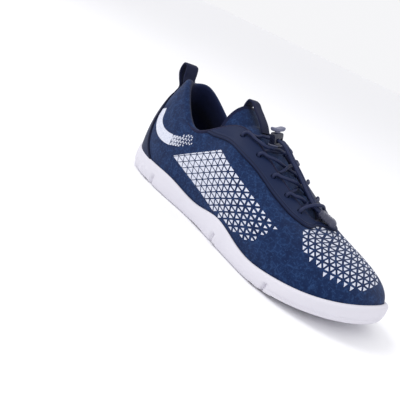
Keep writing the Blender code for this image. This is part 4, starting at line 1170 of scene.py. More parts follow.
def counter_surface(u, v):
    at = (2 * u - 1) * smooth_steps(COUNTER_EDGE, v)
    low = share_at_height(at, rand_top(at) - 0.002)
    return dressed_skin(at, low + (COUNTER_TOP - low) * v)


def counter_rim(u, v):
    half = 0.030 * smooth_steps(COUNTER_EDGE, v) / 1.2
    return np.minimum(np.minimum(u, 1 - u) * 2 * half, (1 - v) * COUNTER_CLOTH[1])


counter_mesh = bmesh.new()
add_pad(counter_mesh, 120, 80, counter_surface,
        lambda u, v: np.where(
            counter_rim(u, v) < 1e-7, FILM_FOOT,
            COUNTER_LIFT + OVERLAY * rounding(counter_rim(u, v), COUNTER_ROUNDING)),
        sink=FILM_FOOT, cloth=lambda u, v: (u * COUNTER_CLOTH[0], v * COUNTER_CLOTH[1]),
        marks={"rim": lambda u, v: 1 - ease(counter_rim(u, v), 0.0010, 0.0020)})
finish(counter_mesh, "counter_film", [SMOOTH_OVERLAY], sharp=None,
       replaces=("heel_counter",))


# %% [markdown]
# Tongue. It is padded knit, bound along its top with dark tape, and lies loose under the throat.
# Its face is one sheet from the free top edge down to the toe end, and a soft thickness turns
# round its rims.

# %% Tongue
TONGUE = 0.0040
TONGUE_RISE = 0.0195
TONGUE_HALF_WIDTH = 0.0205
TONGUE_SWEEP = 0.003
TONGUE_LEAN = 36.0
FREE_END = 0.16
UNDERLAP = 0.20
TONGUE_CLOTH = (0.110, 0.055)
TONGUE_EDGE = 0.0035
TONGUE_TAPE = (0.0024, 0.0034)


def tongue_overlap(at):
    return TONGUE_OVERLAP * (1 - 0.25 * ease(from_toe(at), 3.5, 5.0))


def tongue_row(at, across):
    """The tongue's face at a station, also under the two throat edges."""
    under = np.clip((UNDERLAP - np.minimum(across, 1 - across)) / UNDERLAP, 0, 1)
    station = np.where(across < 0.5, at, STATIONS - at)
    side = off_skin(station, share_below_top(station, tongue_overlap(at) * under),
                    -tongue_clear(at))
    middle = tongue_section(at, np.clip((across - UNDERLAP) / (1 - 2 * UNDERLAP), 0, 1))
    return np.where((under > 0)[:, None], side, middle)


def tongue_top():
    crown = tongue_section(np.array([COLLAR_CORNER]), np.array([0.5]))[0]
    lift = math.radians(TONGUE_LEAN)
    return crown[0] - TONGUE_RISE * math.cos(lift), crown[2] + TONGUE_RISE * math.sin(lift)


def tongue_surface(u, v):
    """u runs from the free top edge to the toe end, v across."""
    at = COLLAR_CORNER + (TOE - COLLAR_CORNER) * np.clip((u - FREE_END) / (1 - FREE_END), 0, 1)
    row = tongue_row(at, v)
    top_x, top_z = tongue_top()
    foot_z = tongue_row(np.array([COLLAR_CORNER]), np.array([0.0]))[0][2] - 0.0015
    high_z = foot_z + (top_z - foot_z) * 4 / 3
    top = bezier(v[:, None], np.array([top_x - TONGUE_SWEEP, -TONGUE_HALF_WIDTH, foot_z]),
                 np.array([top_x, -TONGUE_HALF_WIDTH, high_z]),
                 np.array([top_x, TONGUE_HALF_WIDTH, high_z]),
                 np.array([top_x - TONGUE_SWEEP, TONGUE_HALF_WIDTH, foot_z]))
    free = np.clip(u / FREE_END, 0, 1)[:, None]
    return np.where((u < FREE_END)[:, None], top + (row - top) * free, row)


def tongue_rim(u, v):
    return np.minimum(np.minimum(v, 1 - v) * 0.060, np.minimum(u, 1 - u) * TONGUE_CLOTH[0])


tongue_mesh = bmesh.new()
add_pad(tongue_mesh, 150, 70, tongue_surface,
        lambda u, v: 0 * u,
        sink=lambda u, v: -TONGUE * rounding(tongue_rim(u, v), TONGUE_EDGE),
        cloth=lambda u, v: (u * TONGUE_CLOTH[0], v * TONGUE_CLOTH[1]),
        marks={"lining": lambda u, v: 1 - ease(u * TONGUE_CLOTH[0], *TONGUE_TAPE)}, crowd=(1, 0))
tongue = finish(tongue_mesh, "padded_tongue", [NAVY_KNIT], sharp=None,
                replaces=("tongue",))


# %% [markdown]
# Webbing. The two pull loops are woven polyester tape, dark and slightly shiny, with fine weft
# ribs across it. Each is a flat strap along a curve, sewn down at its ends.

# %% Webbing straps
WEBBING = 0.0018
WEFT = 0.0007
DARK_WEBBING, shader = new_material("woven_polyester_tape", 0.62, Specular_IOR_Level=0.2)
ribs, ends = cloth_waves(DARK_WEBBING, WEFT, 1.6 * WEFT)
weave = add(DARK_WEBBING, "Math", {0: ribs, 1: ends}, operation="MULTIPLY").outputs[0]
weave = add(DARK_WEBBING, "Math", {0: weave, 1: 0.5, 2: ribs}, operation="MULTIPLY_ADD").outputs[0]
two_tones(DARK_WEBBING, shader, weave, "#080C22", "#151D40", 0.00012, (-1.2, 1.2))


def add_strap(mesh, line, width, thickness):
    """Adds a strap along a line of (x, z) points in the plane y = 0."""
    line = np.asarray(line, float)
    runs = unit(np.gradient(line, axis=0))
    sides = np.stack([-runs[:, 1], runs[:, 0]], 1)
    count = len(line) + 1
    steps = run_lengths(line)

    def place(u, v):
        column_at = np.rint(u * count).astype(int)
        at = np.clip(column_at - 1, 0, len(line) - 1)
        open_ring = np.where((column_at == 0) | (column_at == count), 0.0, 1.0)
        angle = 2 * math.pi * v
        across = width / 2 * np.sign(np.cos(angle)) * np.abs(np.cos(angle)) ** 0.25 * open_ring
        over = thickness / 2 * np.sign(np.sin(angle)) * np.abs(np.sin(angle)) ** 0.45 * open_ring
        return np.stack([line[at, 0] + sides[at, 0] * over, across,
                         line[at, 1] + sides[at, 1] * over], 1)

    def cloth(u, v):
        at = np.clip(np.rint(u * count).astype(int) - 1, 0, len(line) - 1)
        return steps[at], width / 2 * np.cos(2 * math.pi * v)

    add_sheet(mesh, count, 48, place, cloth)


def plane_route(points, count):
    return smooth_route([(x, 0.0, z) for x, z in points], count)[:, (0, 2)]


# %% Heel loop
HEEL_LOOP_WIDTH = 0.0150
COUNTER_GAP = 0.0006
HEEL_LOOP_ARC = ((-0.0125, -0.0030), (-0.0156, 0.0020), (-0.0158, 0.0070), (-0.0136, 0.0118),
                 (-0.0098, 0.0112), (-0.0078, 0.0060), (-0.0070, 0.0005))


def behind_heel(below, lift):
    at = np.array([0.0])
    point = off_skin(at, share_below_top(at, np.array([below])), np.array([lift]))[0]
    return point[0], point[2]


heel_top = np.array(top_edge(np.array([0.0])))[:, 0]
under = WEBBING / 2 + COUNTER_GAP
over = under + WEBBING + GAP
loop_points = ([behind_heel(0.0200, over), behind_heel(0.0120, over)]
               + [(heel_top[0] + dx, heel_top[2] + dz) for dx, dz in HEEL_LOOP_ARC]
               + [behind_heel(0.0070, under), behind_heel(0.0150, under)])
strap = bmesh.new()
add_strap(strap, plane_route(loop_points, 120), HEEL_LOOP_WIDTH, WEBBING)
finish(strap, "heel_pull_loop", [DARK_WEBBING], replaces=("heel_loop",))

# %% Tongue tab
TAB_WIDTH = 0.0105
TAB_STATION = 5.42
TAB_ARC = ((-0.0028, -0.0030), (-0.0024, 0.0018), (-0.0006, 0.0052), (0.0028, 0.0050),
           (0.0084, 0.0016), (0.0160, -0.0030), (0.0230, -0.0078))
top_x, top_z = tongue_top()
tab_foot = on_tongue(TAB_STATION, 0.5, GAP + WEBBING / 2)
tab_points = [(top_x + dx, top_z + dz) for dx, dz in TAB_ARC] + [(tab_foot[0], tab_foot[2])]
strap = bmesh.new()
add_strap(strap, plane_route(tab_points, 110), TAB_WIDTH, WEBBING)
finish(strap, "tongue_pull_tab", [DARK_WEBBING], replaces=("tongue_tab",))


# %% [markdown]
# Prints. A white pattern of triangles is screen printed on the knit, over the side and over the
# toe. It lies on a lattice that was straight on the flat cloth. So each triangle's corners are
# found in a flat chart of the skin, and the small triangles are laid on the curved skin as thin
# films. Where the real pattern fades, the triangles shrink round their middles.

# %% Print material and charts
# Screen print ink is a thin rubbery film: white, matt, and a little broken by the knit under it.
PRINT_FILM = clouded("white_screen_print", 0.50, 0.00067, "#BDC2D4", "#DCDFEA", 0.00006,
                     span=(0.35, 0.65), Specular_IOR_Level=0.4)
PRINT_LIFT = 0.00012
CHART_TABLE = (50, 40)
CHART_TURNS = 8
CHART_MISS = 0.0003


def side_chart(at, share):
    """The skin seen square from the side."""
    return skin(at, share)[..., (0, 2)]


def vamp_chart(at, share):
    """The skin unrolled from the throat edge, in plan."""
    top_x, top_y, top_z = top_edge(at)
    foot_x, foot_y = outline(at)
    away = unit(np.stack([foot_x - top_x, foot_y - top_y], -1))
    arcs = wall_arcs(at)
    place = np.clip(share, 0, 1) * (len(SHARES) - 1)
    low = np.clip(np.floor(place).astype(int), 0, len(SHARES) - 2)
    rows = np.arange(len(at))
    length = arcs[rows, low] + (arcs[rows, low + 1] - arcs[rows, low]) * (place - low)
    return np.stack([top_x, top_y], -1) + away * (arcs[:, -1] - length)[:, None]


def find_in_chart(chart, wanted, stations):
    """Station and share of each wanted chart point, from a coarse table and Newton's steps."""
    grid_at, grid_share = np.meshgrid(np.linspace(*stations, CHART_TABLE[0]),
                                       np.linspace(0.04, 0.98, CHART_TABLE[1]))
    table = chart(grid_at.ravel(), grid_share.ravel())
    nearest = np.array([np.argmin(((table - point) ** 2).sum(1)) for point in wanted])
    at = grid_at.ravel()[nearest].copy()
    share = grid_share.ravel()[nearest].copy()
    for turn in range(CHART_TURNS):
        miss = chart(at, share) - wanted
        by_at = (chart(at + 0.01, share) - chart(at - 0.01, share)) / 0.02
        by_share = (chart(at, share + 0.004) - chart(at, share - 0.004)) / 0.008
        size = by_at[:, 0] * by_share[:, 1] - by_at[:, 1] * by_share[:, 0]
        size = np.where(np.abs(size) < 1e-9, 1e-9, size)
        step_at = (miss[:, 0] * by_share[:, 1] - miss[:, 1] * by_share[:, 0]) / size
        step_share = (by_at[:, 0] * miss[:, 1] - by_at[:, 1] * miss[:, 0]) / size
        at = np.clip(at - np.clip(step_at, -0.3, 0.3), stations[0] - 0.5, stations[1] + 0.5)
        share = np.clip(share - np.clip(step_share, -0.1, 0.1), 0.02, 0.99)
    good = np.linalg.norm(chart(at, share) - wanted, axis=1) < CHART_MISS
    return at, share, good


def inside(points, corners):
    """Which flat points lie inside a polygon."""
    found = np.zeros(len(points), bool)
    for i, (x1, y1) in enumerate(corners):
        x0, y0 = corners[i - 1]
        crosses = (points[:, 1] < y0) != (points[:, 1] < y1)
        reach = x0 + (x1 - x0) * (points[:, 1] - y0) / (y1 - y0 + 1e-12)
        found ^= crosses & (points[:, 0] < reach)
    return found


def lattice(origin, first, second, corners):
    """The triangles, three chart points each, whose middles lie inside a polygon."""
    origin, first, second = np.array(origin), np.array(first), np.array(second)
    low, high = np.min(corners, 0), np.max(corners, 0)
    reach = int(np.ceil(np.linalg.norm(high - low) / min(np.linalg.norm(first),
                                                         np.linalg.norm(second)))) + 2
    found = []
    for i in range(-reach, reach + 1):
        for j in range(-reach, reach + 1):
            start = origin + first * i + second * j
            found.append((start, start + first, start + second))
            found.append((start + first, start + first + second, start + second))
    found = np.array(found)
    return found[inside(found.mean(1), np.asarray(corners))]


RIM_POINTS = 4


def print_triangles(name, chart, triangles, scale, stations, mirror=False, trim=None):
    """Lays flat triangles on the skin, each shrunk round its middle by scale(middle). A trim
    moves the points that lie past the print's cut edge back to it."""
    middles = triangles.mean(1, keepdims=True)
    small = middles + (triangles - middles) * scale(middles[:, 0])[:, None, None]
    steps = np.arange(RIM_POINTS) / RIM_POINTS
    ends = np.roll(small, -1, 1)
    rims = small[:, :, None] + (ends - small)[:, :, None] * steps[None, None, :, None]
    points = rims.reshape(-1, 2)
    if trim is not None:
        points = trim(points)
    at, share, good = find_in_chart(chart, points, stations)
    whole = good.reshape(len(small), -1).all(1)
    laid = skin_points(at, share, mirror).reshape(len(small), -1, 3)[whole]
    mesh = bmesh.new()
    for corners in laid:
        ring = bmesh.ops.create_circle(mesh, cap_ends=True, segments=len(corners),
                                       radius=1.0)["verts"]
        for vertex, point in zip(ring, corners):
            vertex.co = point
    face_out(mesh, at, share, mirror)
    finish(mesh, name, [PRINT_FILM], weld=1e-7, outwards=False, sharp=None)
    print(name, int(whole.sum()), "triangles of", len(whole))


def skin_points(at, share, mirror):
    return dressed_skin(STATIONS - at if mirror else at, share, PRINT_LIFT)


def face_out(mesh, at, share, mirror):
    """Turns each face to look out of the skin."""
    places = skin_points(at, share, mirror)
    normals = skin_normal(STATIONS - at if mirror else at, share)
    for face in mesh.faces:
        face.normal_update()
        middle = np.array(face.calc_center_median())
        nearest = np.argmin(((places - middle) ** 2).sum(1))
        if np.dot(np.array(face.normal), normals[nearest]) < 0:
            face.normal_flip()


# %% Side print
CUT_START = (-0.0675, 0.0368)
CUT_END = (-0.0244, 0.0640)
SIDE_CORNERS = ((-0.0720, 0.0370), (-0.048, 0.0540), (-0.027, 0.0660), (0.0645, 0.0474),
                (0.0615, 0.0390), (0.0595, 0.0330), (0.0570, 0.0260), (0.048, 0.0245),
                (0.037, 0.0225), (0.025, 0.0208), (0.010, 0.0215), (-0.010, 0.0222),
                (-0.069, 0.0340))
ROW_STEP = (0.0062, 0.0037)
SLANT_STEP = (0.0079, -0.0016)
SIDE_START = (-0.0552, 0.0369)
SIDE_SLOPE = 0.2025
SIDE_HEIGHT = 0.0347
SIDE_DROP = 0.040
SIDE_SCALE = ((-0.070, 0.85), (-0.020, 0.76), (0.010, 0.63), (0.040, 0.49), (0.064, 0.38))


def side_scale(middles):
    return smooth_steps(SIDE_SCALE, middles[:, 0])


def side_trim(points):
    """Cuts the print off straight along its heel end."""
    run = np.array(CUT_END) - np.array(CUT_START)
    out = np.array([-run[1], run[0]]) / np.linalg.norm(run)
    past = np.maximum((points - np.array(CUT_START)) @ out, 0)
    return points - past[:, None] * out


def bend_rows(cells):
    """The upper rows of the print drop a little towards the toe, with the throat."""
    x = cells[..., 0]
    level = (cells[..., 1] - SIDE_START[1] + SIDE_SLOPE * (x - SIDE_START[0])) / SIDE_HEIGHT
    drop = SIDE_DROP * np.maximum(x - CUT_END[0], 0) * np.clip(level, 0, 1)
    return np.stack([x, cells[..., 1] - drop], -1)


side_cells = bend_rows(lattice(SIDE_START, ROW_STEP, SLANT_STEP, SIDE_CORNERS))
for word, mirror in (("outer", False), ("inner", True)):
    print_triangles("side_print_" + word, side_chart, side_cells, side_scale, (2.0, 8.4), mirror,
                    side_trim)

# %% Toe print
TOE_CORNERS = ((0.070, 0.0), (0.078, -0.0150), (0.0835, -0.0225), (0.088, -0.0290),
               (0.092, -0.0325), (0.097, -0.0355), (0.1015, -0.0345), (0.105, -0.0315),
               (0.1155, -0.0298), (0.120, -0.0260), (0.1275, -0.0195), (0.131, -0.0150),
               (0.1335, -0.0040), (0.132, 0.0030), (0.130, 0.0120), (0.127, 0.0200),
               (0.118, 0.0290), (0.105, 0.0350), (0.096, 0.0350), (0.088, 0.0290),
               (0.078, 0.0150))
TOE_START = (0.0942, -0.0263)
TOE_FIRST = (0.0036, 0.0036)
TOE_SECOND = (0.0056, -0.0050)
TOE_SCALE = 0.54
toe_cells = lattice(TOE_START, TOE_FIRST, TOE_SECOND, TOE_CORNERS)
print_triangles("toe_print", vamp_chart, toe_cells,
                lambda middles: np.full(len(middles), TOE_SCALE), (7.4, 12.6))

# %% Heel band
# A plain curved reflective band on each side of the heel. Its front end fades out in small
# triangles.
HEEL_BAND = ((-0.1195, 0.0615), (-0.1140, 0.0510), (-0.1045, 0.0455), (-0.0925, 0.0440),
             (-0.0805, 0.0458), (-0.0690, 0.0505), (-0.0590, 0.0570))
HEEL_BAND_HALF = 0.0049
BAND_SOLID = 0.64
BAND_CELL = 0.0036
FADE_START = (-0.083, 0.84)
FADE_END = (-0.060, 0.48)


def heel_band_point(along, across):
    """A chart point of the band: along it from 0 to 1, across from -1 to 1."""
    places = np.linspace(0, 1, len(HEEL_BAND))
    line = np.array(HEEL_BAND)

    def middle(share):
        return np.stack([smooth_steps(list(zip(places, line[:, axis])), share)
                         for axis in range(2)], -1)

    run = unit(middle(np.clip(along + 0.01, 0, 1)) - middle(np.clip(along - 0.01, 0, 1)))
    side = np.stack([-run[:, 1], run[:, 0]], -1)
    return middle(along) + side * (across * HEEL_BAND_HALF)[:, None]


def fade_scale(middles):
    """The fading triangles' size, by their place along the shoe."""
    part = ease(middles[:, 0], FADE_START[0], FADE_END[0])
    return FADE_START[1] + (FADE_END[1] - FADE_START[1]) * part


for word, mirror in (("outer", False), ("inner", True)):
    sheet = bmesh.new()
    spots = {}

    def band_on_skin(u, v):
        chart = heel_band_point(u * BAND_SOLID, 2 * v - 1)
        at, share, good = find_in_chart(side_chart, chart, (0.3, 4.2))
        spots["found"] = (at, share, good)
        return skin_points(at, share, mirror)

    add_sheet(sheet, 60, 12, band_on_skin)
    at, share, good = spots["found"]
    face_out(sheet, at, share, mirror)
    finish(sheet, "heel_band_" + word, [PRINT_FILM], outwards=False, sharp=None)
    print("points found:", int(good.sum()), "of", len(good))
fade_at = np.linspace(BAND_SOLID, 1.0, 30)
fade_corners = np.concatenate([heel_band_point(fade_at, 0 * fade_at - 1.0),
                               heel_band_point(fade_at[::-1], 0 * fade_at + 1.0)])
fade_run = unit(fade_corners[8] - fade_corners[0]) * BAND_CELL
fade_rise = np.array([-fade_run[1], fade_run[0]])
fade_cells = lattice(fade_corners[0], fade_run, fade_run * 0.5 + fade_rise * 0.87, fade_corners)
for word, mirror in (("outer", False), ("inner", True)):
    print_triangles("heel_band_fade_" + word, side_chart, fade_cells,
                    fade_scale, (0.5, 4.6), mirror)

# %% [markdown]
# The cord lock. A spring inside holds the button up, and the cord is pinched where the holes of
# the stem and the body no longer line up. Pressing the button straight down its stem frees the
# cord. The body is smoky see-through plastic, so dark that it looks black-grey, and the button is
# grey with a saddle for the thumb.

# %% Cord lock
SMOKY_PLASTIC = clouded("smoky_clear_plastic", 0.22, 0.0042, "#15172A", "#262A3E", 0.0,
                        Specular_IOR_Level=0.5, Coat_Weight=0.35, Coat_Roughness=0.12)
PALE_NYLON = clouded("pale_grey_nylon", 0.45, 0.00143, "#5C5F76", "#6C6F87", 0.00004,
                     Specular_IOR_Level=0.4, Coat_Weight=0.1, Coat_Roughness=0.3)
LOCK_PLATE = 0.0012

body_mesh = bmesh.new()
add_block(body_mesh, (LOCK_DEPTH, LOCK_WIDTH, LOCK_HEIGHT), 0.0, 7.0, 20)
body_mesh.transform(lock_place)
lock_body = finish(body_mesh, "cord_lock_shell", [SMOKY_PLASTIC], sharp=None,
                   replaces=("cord_lock_body",))
bores = bmesh.new()
for side in (-1, 1):
    spot = Matrix.Translation((0, side * LOCK_BORE_SPREAD, LOCK_BORE_HEIGHT))
    bmesh.ops.create_cone(bores, cap_ends=True, segments=32, radius1=CORD / 2 + GAP,
                          radius2=CORD / 2 + GAP, depth=2 * LOCK_DEPTH,
                          matrix=lock_place @ spot @ Matrix.Rotation(math.pi / 2, 4, "Y"))
cut(lock_body, bores)


def saddle(x, y, z):
    """The button is a little narrower at its foot."""
    return 0.90 + 0.10 * ease(z, -1.0, 0.2)


head_mesh = bmesh.new()
head_low = LOCK_HEIGHT + GAP + LOCK_NECK
head_verts = add_block(head_mesh, (LOCK_DEPTH, LOCK_HEAD_WIDTH, LOCK_HEAD_HEIGHT), head_low, 4.5,
                       16, saddle)
for vertex in head_verts:
    across = min(abs(vertex.co.y) / (LOCK_HEAD_WIDTH / 2), 1.0)
    if vertex.co.z > head_low + LOCK_HEAD_HEIGHT / 2:
        vertex.co.z -= LOCK_SADDLE * (1 - across**2)
stem = Matrix.Translation((0, 0, head_low - 0.6 * LOCK_NECK))
bmesh.ops.create_cone(head_mesh, cap_ends=True, segments=32, radius1=LOCK_STEM / 2,
                      radius2=LOCK_STEM / 2, depth=4 * LOCK_NECK, matrix=stem)
head_mesh.transform(lock_place)
finish(head_mesh, "cord_lock_thumb_button", [PALE_NYLON], sharp=40,
       replaces=("cord_lock_button",))
plate_mesh = bmesh.new()
add_block(plate_mesh, (LOCK_DEPTH + LOCK_PLATE, LOCK_WIDTH + LOCK_PLATE, LOCK_PLATE), 0.0002, 6.0,
          12)
plate_mesh.transform(lock_place)
finish(plate_mesh, "cord_lock_foot_rim", [PALE_NYLON], sharp=None)

# %% [markdown]
# The sole is one piece of white foam rubber with a matt skin. Its tread stands in raised pads with
# narrow grooves between them, and the pads are covered in a fine wave relief, all but the arch's.
# The wall round it is smooth, with a fine step line round the toe, notches where grooves run out,
# and four curved ribs at the heel. The grooves between the pads are darkened with painted shade.

# %% Sole material
RUBBER_GRAIN = 0.00071
RUBBER_CLOUD = 0.0333
WAVE_STEP = 0.0031
WAVE_BEND = 0.0062
WAVE_SWING = 0.0016

WHITE_RUBBER, shader = new_material("white_foam_rubber", 0.55, Specular_IOR_Level=0.35)
place = add(WHITE_RUBBER, "TexCoord").outputs["Object"]
skin_grain, soil = (add(WHITE_RUBBER, "TexNoise", {"Vector": place, "Scale": 1 / size,
                                                   "Detail": detail}).outputs["Fac"]
                    for size, detail in ((RUBBER_GRAIN, 2.0), (RUBBER_CLOUD, 3.0)))
tread_mark, painted_groove_shade_mark = (add(WHITE_RUBBER, "Attribute", attribute_name=mark).outputs["Fac"]
                           for mark in ("tread", "groove_shade"))
split = add(WHITE_RUBBER, "SeparateXYZ", {0: place})
wave = split.outputs["Y"]
for operation, links in (("PINGPONG", {1: WAVE_BEND}),
                         ("MULTIPLY_ADD", {1: WAVE_SWING * 2 / WAVE_BEND, 2: split.outputs["X"]}),
                         ("MULTIPLY", {1: 2 * math.pi / WAVE_STEP}), ("SINE", {})):
    wave = add(WHITE_RUBBER, "Math", {0: wave, **links}, operation=operation).outputs[0]
wave = add(WHITE_RUBBER, "MapRange", {"Value": wave, "From Min": -0.5, "From Max": 0.5,
                                      "To Max": tread_mark},
           interpolation_type="SMOOTHSTEP").outputs["Result"]
clean = layered(WHITE_RUBBER, linear("#D2D0D9"), (soil, linear("#DAD8E0")))
worn = layered(WHITE_RUBBER, linear("#AEABB8"), (wave, linear("#C6C3CE")))
# Painted shade: the grooves between the pads are darkened to grey.
mixed = layered(WHITE_RUBBER, clean, (tread_mark, worn), (painted_groove_shade_mark, linear("#8F8C9C")))
relief = add(WHITE_RUBBER, "Math", {0: skin_grain, 1: 0.06, 2: wave}, operation="MULTIPLY_ADD")
dress(WHITE_RUBBER, shader, mixed, relief.outputs[0], 0.0005)

# %% Tread pads
GROOVE_DEPTH = 0.0014
PAD_EDGE = 0.0007
TREAD_PADS = {
    "big_toe": ((0.968, 0.165), (0.860, 0.185), (0.853, 0.430), (0.892, 0.420), (0.950, 0.320)),
    "second_toe": ((0.947, -0.075), (0.845, -0.045), (0.852, 0.105), (0.962, 0.085)),
    "third_toe": ((0.902, -0.280), (0.820, -0.190), (0.836, -0.090), (0.925, -0.125)),
    "fourth_toe": ((0.838, -0.395), (0.788, -0.325), (0.806, -0.240), (0.868, -0.325)),
    "little_toe": ((0.820, -0.470), (0.770, -0.375), (0.748, -0.620), (0.812, -0.620)),
    "outer_forefoot": ((0.722, -0.620), (0.530, -0.620), (0.585, -0.400), (0.656, -0.115),
                       (0.700, -0.010), (0.822, 0.100), (0.778, -0.235)),
    "inner_forefoot": ((0.830, 0.180), (0.747, 0.135), (0.662, 0.012), (0.630, 0.028),
                       (0.572, 0.190), (0.585, 0.620), (0.812, 0.620)),
    "outer_middle": ((0.505, -0.620), (0.455, -0.620), (0.506, -0.326), (0.540, -0.125),
                     (0.628, -0.100)),
    "middle_wedge": ((0.612, -0.040), (0.556, -0.062), (0.560, 0.112)),
    "arch_panel": ((0.486, -0.225), (0.522, -0.060), (0.538, 0.150), (0.428, 0.155),
                   (0.448, -0.060)),
    "outer_heel": ((0.400, -0.620), (0.440, -0.330), (0.425, -0.125), (0.397, 0.166),
                   (0.336, 0.319), (0.255, 0.620), (0.190, 0.620), (0.172, 0.120),
                   (0.190, -0.620)),
    "heel_end": ((0.165, -0.620), (0.145, 0.120), (0.165, 0.620), (-0.100, 0.620),
                 (-0.100, -0.620)),
}
SMOOTH_PADS = ("arch_panel",)


def edge_distance(points, corners):
    """How far plan points lie inside a polygon, and less than 0 outside it."""
    corners = np.asarray(corners, float)
    best = np.full(len(points), np.inf)
    for start, end in zip(np.roll(corners, 1, 0), corners):
        run = end - start
        share = np.clip(((points - start) @ run) / (run @ run), 0, 1)
        best = np.minimum(best, np.linalg.norm(points - start - share[:, None] * run, axis=1))
    return np.where(inside(points, corners), best, -best)


def on_pads(x, y, names=TREAD_PADS):
    """How far plan points lie inside the nearest tread pad."""
    points = np.stack([x, y], 1)
    found = [edge_distance(points, [from_shares(*corner) for corner in TREAD_PADS[name]])
             for name in names]
    return np.max(found, 0)


def tread_height(x, y):
    return underside(x, y) + GROOVE_DEPTH * (1 - ease(on_pads(x, y), -PAD_EDGE, PAD_EDGE))


# %% Sole
SIDE_NOTCHES = ((1.05, 0.50), (2.25, 0.62), (5.05, 0.55), (7.05, 0.66), (13.1, 0.60), (15.1, 0.55),
                (17.7, 0.60), (18.9, 0.50))
SIDE_NOTCH = 0.0015
SIDE_NOTCH_DEPTH = 0.0034
# The sole's wall from the tread over the lip: step in as a share of TREAD_EDGE, and height
SOLE_WALL = ((1.00, 0.00), (0.42, 0.07), (0.12, 0.26), (0.00, 0.48), (0.02, 0.68), (0.08, 0.84),
             (0.18, 0.94), (0.36, 1.00))
HEEL_RIBS = ((1.30, 0.0009), (1.52, 0.0009), (1.74, 0.0009), (1.96, 0.0009))
STEP_LINE = (6.9, 10.6, 0.30)
RING_FINE = 560
WALL_FINE = 36
STATION_RUN = 0.034
HEEL_RIB = 0.0012
WAVE_MARGIN = (0.0012, 0.0020)
STEP_LINE_DEPTH = 0.0006
LIP_SWELL = 0.0004


def near_station(at, station, reach):
    """How far along the outline a place lies from a station, as a share of a reach. A station
    step is taken to be STATION_RUN long."""
    away = (at - station + STATIONS / 2) % STATIONS - STATIONS / 2
    return away * STATION_RUN / reach


def wall_detail(at, height):
    """How far the sole's wall steps in at notches and the step line, and out at the ribs."""
    depth = 0 * at
    for station, tall in SIDE_NOTCHES:
        across = near_station(at, station + 0.12 * height, SIDE_NOTCH)
        depth = depth + SIDE_NOTCH_DEPTH * np.exp(-(across**2)) * ease(height, tall, tall - 0.2)
    for station, high in HEEL_RIBS:
        across = near_station(at, station + 0.35 * (height - 0.3) ** 2, HEEL_RIB)
        part = ease(height, 0.0, 0.1) * ease(height, 0.62, 0.45)
        depth = depth - high * np.exp(-(across**2)) * part
    start, end, level = STEP_LINE
    run = ease(at, start, start + 0.5) * ease(at, end, end - 0.5)
    return depth + STEP_LINE_DEPTH * run * np.exp(-(((height - level) / 0.05) ** 2))


def sole_wall(u, v):
    at = ring_station(u)
    rows = np.linspace(0, 1, len(SOLE_WALL))
    inset = smooth_steps(list(zip(rows, [row[0] for row in SOLE_WALL])), v) * TREAD_EDGE
    height = smooth_steps(list(zip(rows, [row[1] for row in SOLE_WALL])), v)
    inset = inset + wall_detail(at, height) * ease(v, 0.0, 0.12) * ease(v, 1.0, 0.9)
    x, y = within_outline(at, inset)
    low = underside(x, y)
    lift = (tread_height(x, y) - low) * ease(height, 0.10, 0.0)
    return np.stack([x, y, low + (rand_top(at) - low) * height + lift], -1)


def sole_cup(u, v):
    """The cup that holds the upper, from the lip down to the bed."""
    at = ring_station(u)
    top = rand_top(at)
    level = top + (BED_HEIGHT + spring(within_outline(at, RAND_WALL)[0]) - top) * v
    line = off_skin(at, share_at_height(at, level), np.full(at.shape, GAP))
    line[:, 2] = level
    return line


def sole_lip(u, v):
    lip = sole_wall(u, np.ones_like(u))
    cup = sole_cup(u, np.zeros_like(u))
    lip = lip + (cup - lip) * v[:, None]
    lip[:, 2] += LIP_SWELL * np.sin(math.pi * v)
    return lip


def across_from(edge):
    def place(u, v):
        near = edge(u / 2)
        far = edge(1 - u / 2)
        return near + (far - near) * v[:, None]
    return place


sole_edge = across_from(lambda turn: sole_wall(turn, np.zeros_like(turn)))


def sole_tread(u, v):
    flat = sole_edge(u, v)
    rim = (v < 1e-6) | (v > 1 - 1e-6) | (u < 1e-6) | (u > 1 - 1e-6)
    flat[:, 2] = np.where(rim, flat[:, 2], tread_height(flat[:, 0], flat[:, 1]))
    return flat


def wave_mark(place):
    """1 well inside a pad that has the wave relief."""
    names = [name for name in TREAD_PADS if name not in SMOOTH_PADS]

    def mark(u, v):
        points = place(u, v)
        return ease(on_pads(points[:, 0], points[:, 1], names), *WAVE_MARGIN)
    return mark
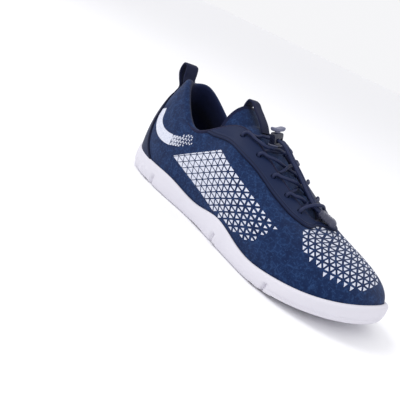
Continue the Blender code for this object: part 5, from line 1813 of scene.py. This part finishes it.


# Painted shade in the grooves: strong next to the pads' edges, fading out further from them.
def painted_groove_shade(u, v):
    points = sole_edge(u, v)
    gap = on_pads(points[:, 0], points[:, 1])
    return ease(gap, PAD_EDGE, -PAD_EDGE) * ease(gap, -0.0045, -0.0012) * 0.8


def none_mark(u, v):
    return 0 * u


sole_mesh = bmesh.new()
plain_marks = {"tread": none_mark, "groove_shade": none_mark}
add_sheet(sole_mesh, RING_FINE, WALL_FINE, sole_wall, None, plain_marks)
add_sheet(sole_mesh, RING_FINE, 3, sole_lip, None, plain_marks)
add_sheet(sole_mesh, RING_FINE, 6, sole_cup, None, plain_marks)
add_sheet(sole_mesh, RING_FINE // 2, 150, sole_tread, None,
          {"tread": wave_mark(sole_edge), "groove_shade": painted_groove_shade})
add_sheet(sole_mesh, RING_FINE // 2, 4,
          across_from(lambda turn: sole_cup(turn, np.ones_like(turn))), None, plain_marks)
finish(sole_mesh, "cup_sole", [WHITE_RUBBER], weld=0.00002, sharp=50,
       replaces=("outsole",))

# %% [markdown]
# The insole is a thin flat bed of dark felted cloth. It lies on the sole's bed inside the wall and
# its rim is rounded over. Felt is very rough, with a faint sheen from its nap.

# %% Insole
INSOLE_EDGE = 0.0012
FELT = clouded("dark_insole_cloth", 0.9, 0.0011, "#0B0F22", "#171E3A", 0.0002, detail=3.0,
               Sheen_Weight=0.2, Specular_IOR_Level=0.2)


def insole_ring(turn, up, inset=0.0):
    x, y = within_outline(ring_station(turn), inset + RAND_WALL + WALL + 2 * GAP)
    return np.stack([x, y, BED_HEIGHT + GAP + spring(x) + INSOLE * up], -1)


def insole_rim(u, v):
    """The rim, rounded over at its top."""
    return insole_ring(u, np.sin(v * math.pi / 2),
                       INSOLE_EDGE * (1 - np.cos(v * math.pi / 2)))


insole_mesh = bmesh.new()
add_sheet(insole_mesh, 200, 6, insole_rim)
add_sheet(insole_mesh, 100, 20, across_from(lambda turn: insole_ring(turn, 1.0, INSOLE_EDGE)))
add_sheet(insole_mesh, 100, 2, across_from(lambda turn: insole_ring(turn, 0.0)))
finish(insole_mesh, "footbed", [FELT], weld=0.00002, sharp=50, replaces=("insole",))
